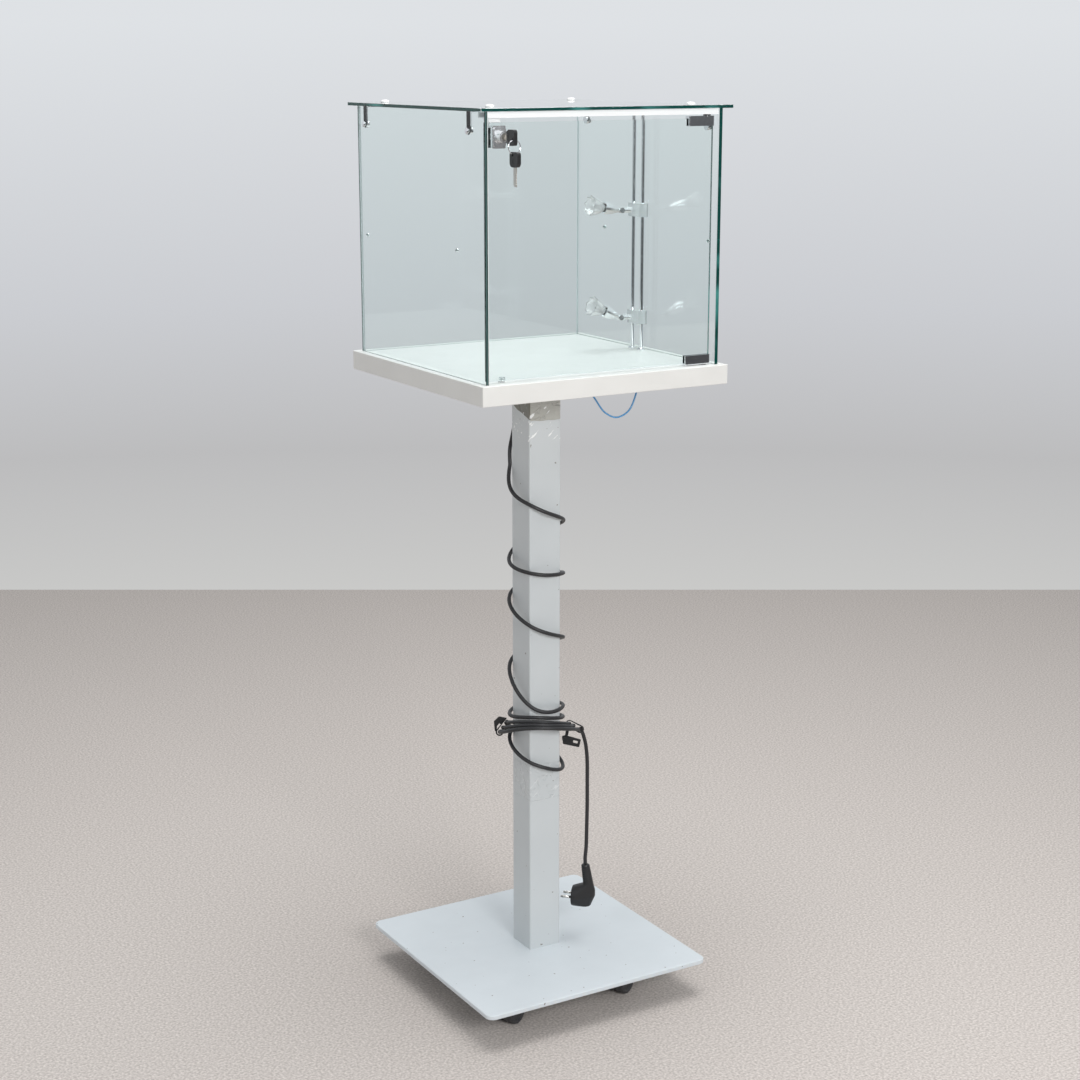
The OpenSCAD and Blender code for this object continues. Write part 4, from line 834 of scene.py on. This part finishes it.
def sheath(name, colour, rough):
    """PVC with a dull and uneven gloss."""
    return finish(name, colour, 0.0, (90, 3, rough - 0.06, rough + 0.1), (350, 3, 0.25, 0.0003))


mains_cord.data.materials.append(sheath("cord_sheath", SHEATH_BLACK, 0.42))
leads[0].data.materials.append(sheath("blue_sheath", SHEATH_BLUE, 0.35))
leads[1].data.materials.append(sheath("black_sheath", SHEATH_BLACK, 0.38))
print("cords sheathed")

# %% [markdown]
# ## Straps
# Two hook-and-loop straps hold the bundle. Each has a band that closes round the gathered turns like
# a link of chain, and its end lies over itself there. The left strap has come half undone, and its
# end stands up as an open loop. The right one ends in a slotted pad that hangs from a short link.
# A band is an outline given width and thickness. The flat ends are filled curves with a rounded
# edge, because a curve takes any outline and a hole, and is quicker to draw than faces.

# %% Strap bands
STRAP_W = 10 * MM
STRAP_T = 1.4 * MM
STRAP_INSIDE = CORD_D / 2 + 1.2 * MM  # from a cord's middle
LAP_T = 0.9 * MM
BAND_SOFT = 0.35 * MM
LEFT_BAND = [(51.7 * MM, 470.3 * MM), (63 * MM, 455.1 * MM), 18]  # two cords, and slope in degrees
RIGHT_BAND = [(57 * MM, 470 * MM), (75.3 * MM, 460.3 * MM), -15.5]


def add_mesh(name, mesh_builder, material, body, faceted=False):
    """An object from a bmesh, which rides on a body."""
    data = bpy.data.meshes.new(name)
    mesh_builder.to_mesh(data)
    mesh_builder.free()
    for face in data.polygons:
        face.use_smooth = not faceted
    data.materials.append(material)
    made = put(name, data)
    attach(made, body)
    return made


def link_outline(first, last, radius, lap=0.0, steps=12):
    """A closed outline round two points, with one half a little higher by lap."""
    along = math.atan2(last[1] - first[1], last[0] - first[0])
    points = []
    for centre, start, extra in ((last, along - math.pi / 2, lap), (first, along + math.pi / 2, 0)):
        for k in range(steps + 1):
            angle = start + math.pi * k / steps
            reach = radius + extra
            points.append((centre[0] + reach * math.cos(angle), centre[1] + reach * math.sin(angle)))
    return points


def bridge(mesh, rows):
    """Faces between each two neighbouring rows of points. A row may be a single point."""
    for low, high in zip(rows, rows[1:]):
        count = max(len(low), len(high))
        for k in range(count):
            m = (k + 1) % count
            ring = [low[k % len(low)], low[m % len(low)], high[m % len(high)], high[k % len(high)]]
            corners = list(dict.fromkeys(ring))
            if len(corners) > 2:
                mesh.faces.new(corners)


def spin(degrees, axis):
    return Matrix.Rotation(math.radians(degrees), 4, axis)


def strap_band(first, last, slope, turn):
    """A closed band round the cords, leant so that they pass square through it."""
    middle = (first[1] + last[1]) / 2
    place = (Matrix.Translation(post_axis) @ spin(turn, "Z")
             @ Matrix.Translation((0, 0, middle)) @ spin(slope, "X")
             @ Matrix.Translation((0, 0, -middle)) @ spin(90, "X"))
    inner = link_outline(first, last, STRAP_INSIDE)
    outer = link_outline(first, last, STRAP_INSIDE + STRAP_T, LAP_T)
    mesh = bmesh.new()
    rows = [[mesh.verts.new(place @ Vector((x, z, side * STRAP_W / 2))) for x, z in outline]
            for outline, side in ((inner, -1), (outer, -1), (outer, 1), (inner, 1))]
    bridge(mesh, rows + rows[:1])
    bmesh.ops.recalc_face_normals(mesh, faces=mesh.faces)
    return mesh


STRAP_BLACK = (0.010, 0.010, 0.011)
strap_cloth, tree, shader = new_material("strap_cloth", STRAP_BLACK, 0.75, others={
    "Sheen Weight": 0.2})
add_bump(tree, shader, grain(tree, 2200, 2), 0.7, 0.0004)
strap_pieces = []
for name, band, turn in (("left_strap", LEFT_BAND, WIND_ANGLE),
                         ("right_strap", RIGHT_BAND, WIND_ANGLE + 180)):
    strap_pieces.append(add_mesh(name, strap_band(*band, turn), strap_cloth, "root"))
    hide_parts("bundle_straps")
    soften(strap_pieces[-1], BAND_SOFT)
print("bands:", [piece.name for piece in strap_pieces])

# %% Strap ends
END_T = 2.4 * MM
END_SOFT = 0.7 * MM
END_CORNER = 1.6  # mm, as the outlines are
LEFT_END = [(50, 480), (64, 483), (73, 474), (71.2, 455.5), (67.9, 457.5), (67.4, 466),
            (63.5, 470.5), (59.8, 468.2), (56, 473.5)]
RIGHT_END = [(44, 447), (50, 449), (77, 441), (74, 427), (46, 433)]
RIGHT_SLOT = [(64, 440), (72, 438), (71, 433.5), (63, 435.5)]
RIGHT_LINK = [(52.5, 467.3), (58, 464), (54, 446), (49, 446)]


def rounded(points, radius, steps=4):
    """The outline with its corners rounded, each by a short curve."""
    done = []
    for k, here in enumerate(points):
        here = Vector(here)
        before, after = Vector(points[k - 1]) - here, Vector(points[(k + 1) % len(points)]) - here
        start = here + before.normalized() * min(radius, before.length / 2.2)
        end = here + after.normalized() * min(radius, after.length / 2.2)
        for j in range(steps + 1):
            t = j / steps
            done.append((1 - t) ** 2 * start + 2 * t * (1 - t) * here + t ** 2 * end)
    return done


def flat_end(name, turn, outlines):
    """A soft-edged slab in the plane of radius and height, from an outline and its holes."""
    shape = bpy.data.curves.new(name, "CURVE")
    shape.dimensions = "2D"
    shape.fill_mode = "BOTH"
    shape.extrude = END_T / 2 - END_SOFT
    shape.bevel_depth = END_SOFT
    shape.bevel_resolution = 2
    shape.offset = -END_SOFT
    for outline in outlines:
        spline = shape.splines.new("POLY")
        corners = rounded(outline, END_CORNER)
        spline.points.add(len(corners) - 1)
        for point, corner in zip(spline.points, corners):
            point.co = (corner.x * MM, corner.y * MM, 0, 1)
        spline.use_cyclic_u = True
    pattern = bpy.data.objects.new(name + "_pattern", shape)
    mesh = bmesh.new()
    mesh.from_mesh(pattern.to_mesh())
    pattern.to_mesh_clear()
    bpy.data.objects.remove(pattern)
    bmesh.ops.remove_doubles(mesh, verts=mesh.verts, dist=0.01 * MM)
    place = Matrix.Translation(post_axis) @ spin(turn, "Z") @ spin(90, "X")
    bmesh.ops.transform(mesh, matrix=place, verts=mesh.verts)
    return add_mesh(name, mesh, strap_cloth, "root")


strap_pieces += [flat_end("left_strap_end", WIND_ANGLE, [LEFT_END]),
                 flat_end("right_strap_end", WIND_ANGLE + 180, [RIGHT_END, RIGHT_SLOT]),
                 flat_end("right_strap_link", WIND_ANGLE + 180, [RIGHT_LINK])]
print("strap pieces:", len(strap_pieces))

# %% [markdown]
# ## Plug
# The cord ends in an angled rubber plug: a slim neck, a body that swells towards a round face, and
# two steel pins. The body is one soft moulding, so it starts as the hull of a few discs, which a
# voxel remesh and a smoothing pass turn into a single skin with rounded edges.

# %% Plug body
PLUG_TURN = 135.5  # degrees about the cord
PLUG_FACE = Vector((22.5, 0, -60)) * MM
PLUG_FACE_D = 37 * MM
FACE_BEVEL = 1 * MM
FACE_T = 8 * MM
PLUG_NECK = [(-0.6, -4, 14, 7.6), (-6, -37, 18, 4)]  # upright discs: x, z, diameter, height in mm
PLUG_BODY = [(-6, -37, 18, 4), (-8, -52, 20, 10), (0, -72, 20, 8)]
SKIN_GRID = 0.7 * MM
plug_place = Matrix.Translation(from_post(*TAIL_ROUTE[-1])) @ spin(PLUG_TURN, "Z")


def disc(centre, diameter, axis, count=40):
    """Points on a circle that faces along an axis."""
    a, b = {"X": ((0, 1, 0), (0, 0, 1)), "Z": ((1, 0, 0), (0, 1, 0))}[axis]
    return [centre + diameter / 2 * (math.cos(t) * Vector(a) + math.sin(t) * Vector(b))
            for t in (2 * math.pi * k / count for k in range(count))]


def hull_into(mesh, points):
    """Adds the skin stretched over points."""
    verts = [mesh.verts.new(p) for p in points]
    done = bmesh.ops.convex_hull(mesh, input=verts)
    inside = [v for v in done["geom_interior"] if isinstance(v, bmesh.types.BMVert)]
    bmesh.ops.delete(mesh, geom=inside, context="VERTS")


def rims(table):
    """The two rims of each upright disc in a table."""
    points = []
    for row in table:
        x, z, diameter, height = [value * MM for value in row]
        for middle in (z - height / 2, z + height / 2):
            points += disc(Vector((x, 0, middle)), diameter, "Z")
    return points


plug_mesh = bmesh.new()
hull_into(plug_mesh, rims(PLUG_NECK))
face_rims = (disc(PLUG_FACE - Vector((FACE_T, 0, 0)), PLUG_FACE_D, "X")
             + disc(PLUG_FACE, PLUG_FACE_D - FACE_BEVEL, "X"))
hull_into(plug_mesh, face_rims + rims(PLUG_BODY))
bmesh.ops.transform(plug_mesh, matrix=plug_place, verts=plug_mesh.verts)
plug_body = add_mesh("plug_body", plug_mesh, black_plastic, "root")
skin = plug_body.modifiers.new("one_skin", "REMESH")
skin.mode = "VOXEL"
skin.voxel_size = SKIN_GRID
skin.use_smooth_shade = True
smooth = plug_body.modifiers.new("moulded", "SMOOTH")
smooth.factor = 0.5
smooth.iterations = 4
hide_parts("plug")
print("plug body set at", [round(x, 3) for x in plug_place.translation])

# %% Lathe for round pieces
def lathe(profile, place, count):
    """A round piece from a list of (radius, height) about its own Z."""
    mesh = bmesh.new()
    rows = []
    for radius, height in profile:
        if radius == 0:
            rows.append([mesh.verts.new(place @ Vector((0, 0, height)))])
            continue
        ring = []
        for k in range(count):
            t = 2 * math.pi * k / count
            point = place @ Vector((radius * math.cos(t), radius * math.sin(t), height))
            ring.append(mesh.verts.new(point))
        rows.append(ring)
    bridge(mesh, rows)
    bmesh.ops.recalc_face_normals(mesh, faces=mesh.faces)
    return mesh


def in_metres(profile):
    return [(radius * MM, height * MM) for radius, height in profile]


print("lathe ready")

# %% Plug pins
PIN_PROFILE = [(0, -4), (2.4, -4), (2.4, 16.5), (2.0, 18.2), (1.2, 19), (0, 19)]  # mm
PIN_OFFSET = 9.5 * MM
PIN_COLOUR = (0.66, 0.65, 0.62)

pin_metal, tree, shader = new_material("pin_metal", PIN_COLOUR, 0.22, 1.0)
roughen(tree, shader, 900, 3, 0.15, 0.35)
for side, name in ((-1, "plug_pin_a"), (1, "plug_pin_b")):
    root = Matrix.Translation(PLUG_FACE + Vector((0, side * PIN_OFFSET, 0)))
    pin = lathe(in_metres(PIN_PROFILE), plug_place @ root @ spin(90, "Y"), 32)
    add_mesh(name, pin, pin_metal, "root")

# %% [markdown]
# The flex relief at the plug's neck is a row of rings round the cord's last centimetres. They are
# turned as one ribbed sleeve, which then leans and widens as the neck does.

# %% Neck rings
NECK_TOP, NECK_BOTTOM = -4 * MM, -37 * MM
NECK_START, NECK_LEAN, NECK_WIDENS = -0.6 * MM, 5.4 * MM, 2 * MM
RINGS = 6
RING_R, RING_TOP, RING_PITCH = 7.3 * MM, -1.2 * MM, 3.8 * MM
GROOVE = 0.9 * MM


def down_neck(z):
    """How far down the neck a height lies: 0 at its top, 1 at the body."""
    return max(0, (NECK_TOP - z) / (NECK_TOP - NECK_BOTTOM))


neck_profile = [(3.4 * MM, 1 * MM), (5.6 * MM, 0.6 * MM)]
for k in range(RINGS):
    z = RING_TOP - RING_PITCH * k
    wide = RING_R + down_neck(z) * NECK_WIDENS
    neck_profile += [(wide, z), (wide, z - 2.1 * MM), (wide - GROOVE, z - 2.5 * MM),
                     (wide - GROOVE, z - 3.4 * MM)]
sleeve = lathe(neck_profile, Matrix(), 40)
for vert in sleeve.verts:
    vert.co.x += NECK_START - NECK_LEAN * down_neck(vert.co.z)
bmesh.ops.transform(sleeve, matrix=plug_place, verts=sleeve.verts)
add_mesh("plug_neck_rings", sleeve, black_plastic, "root")
print("neck rings:", RINGS)

# %% [markdown]
# ## Bulbs
# Each lamp ends in a 35 mm reflector of pressed glass, fluted like a flower, with a halogen capsule
# in the middle. The flutes are what makes it sparkle: the two sides of every petal face different
# ways, so that one mirrors a lamp while the other shows the dark room. Every second point of a
# ring lies further in and lower, the more so towards the rim, and the mesh is left unsmoothed.

# %% Bulb form
PETALS = 9
BOWL_RINGS = 4
BOWL_NECK_R, BOWL_RIM_R, BOWL_DEPTH, BOWL_WALL = 7.5 * MM, 17.5 * MM, 25 * MM, 1.5 * MM
BOWL_FLOOR, FLOOR_RISE = 2 * MM, 0.1 * MM  # the rise from ring to ring keeps them apart
FLUTE = 0.14  # how much further in every second point lies at the rim
RIM_DIP = 2.0 * MM


def petal_ring(mesh, place, radius, height, share):
    """One ring of points, with every second one further in and lower by its share of the depth."""
    ring = []
    for k in range(2 * PETALS):
        angle = math.pi * k / PETALS
        inward = (k % 2) * share
        reach = radius * (1 - FLUTE * inward)
        lowered = height - RIM_DIP * inward ** 3
        point = Vector((reach * math.cos(angle), reach * math.sin(angle), lowered))
        ring.append(mesh.verts.new(place @ point))
    return ring


def bowl(place):
    """A fluted bowl, open at its rim, with its neck at the origin and its mouth along +Z."""
    mesh = bmesh.new()
    shares = [k / BOWL_RINGS for k in range(BOWL_RINGS + 1)]
    outside = [(BOWL_NECK_R + (BOWL_RIM_R - BOWL_NECK_R) * share ** 0.8, BOWL_DEPTH * share, share)
               for share in shares]
    inside = [(radius - BOWL_WALL, max(height, BOWL_FLOOR + FLOOR_RISE * k), share)
              for k, (radius, height, share) in enumerate(outside)]
    rows = [petal_ring(mesh, place, *row) for row in outside + inside[::-1]]
    bridge(mesh, rows)
    mesh.faces.new(rows[0][::-1])
    mesh.faces.new(rows[-1])
    bmesh.ops.recalc_face_normals(mesh, faces=mesh.faces)
    return mesh


print("bowl from", BOWL_NECK_R, "to", BOWL_RIM_R)

# %% Bulbs in place
KNUCKLE_X = 162.5 * MM
LAMPS_AT = [("upper", 1337 * MM, 9), ("lower", 1159 * MM, 22)]  # name, height, tilt in degrees
BULB_START = 37.5 * MM
CAPSULE = [(0, 1), (4.2, 1), (4.2, 5), (2.6, 5.6), (3.4, 8), (3.6, 12), (2.8, 14.6), (1.2, 16),
           (0, 16.4)]  # mm
SEAL = [(2.2, 4.3), (3.8, 4.3), (3.8, 5.3), (2.2, 5.3), (2.2, 4.3)]

bulb_glass, tree, shader = new_material("bulb_glass", (1.0, 1.0, 1.0), 0.03, others={
    "Transmission Weight": 0.8, "IOR": 1.6, "Coat Weight": 1.0})
add_bump(tree, shader, grain(tree, 350, 2), 0.1, 0.0002)
capsule_glass, tree, shader = new_material("capsule_glass", (0.97, 0.98, 0.99), 0.12, others={
    "Transmission Weight": 0.6})
add_bump(tree, shader, grain(tree, 500, 2), 0.15, 0.0002)
for name, height, tilt in LAMPS_AT:
    knuckle = Matrix.Translation(post_axis + Vector((KNUCKLE_X, 0, height))) @ spin(tilt - 90, "Y")
    neck = knuckle @ Matrix.Translation((0, 0, BULB_START))
    body = name + "_lamp"
    reflector = add_mesh(name + "_reflector", bowl(neck), bulb_glass, body, faceted=True)
    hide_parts(name + "_bulb")
    capsule = lathe(in_metres(CAPSULE), neck, 32)
    add_mesh(name + "_capsule", capsule, capsule_glass, body)
    seal = lathe(in_metres(SEAL), knuckle, 32)
    add_mesh(name + "_seal", seal, black_plastic, body)
print("bulbs in place")
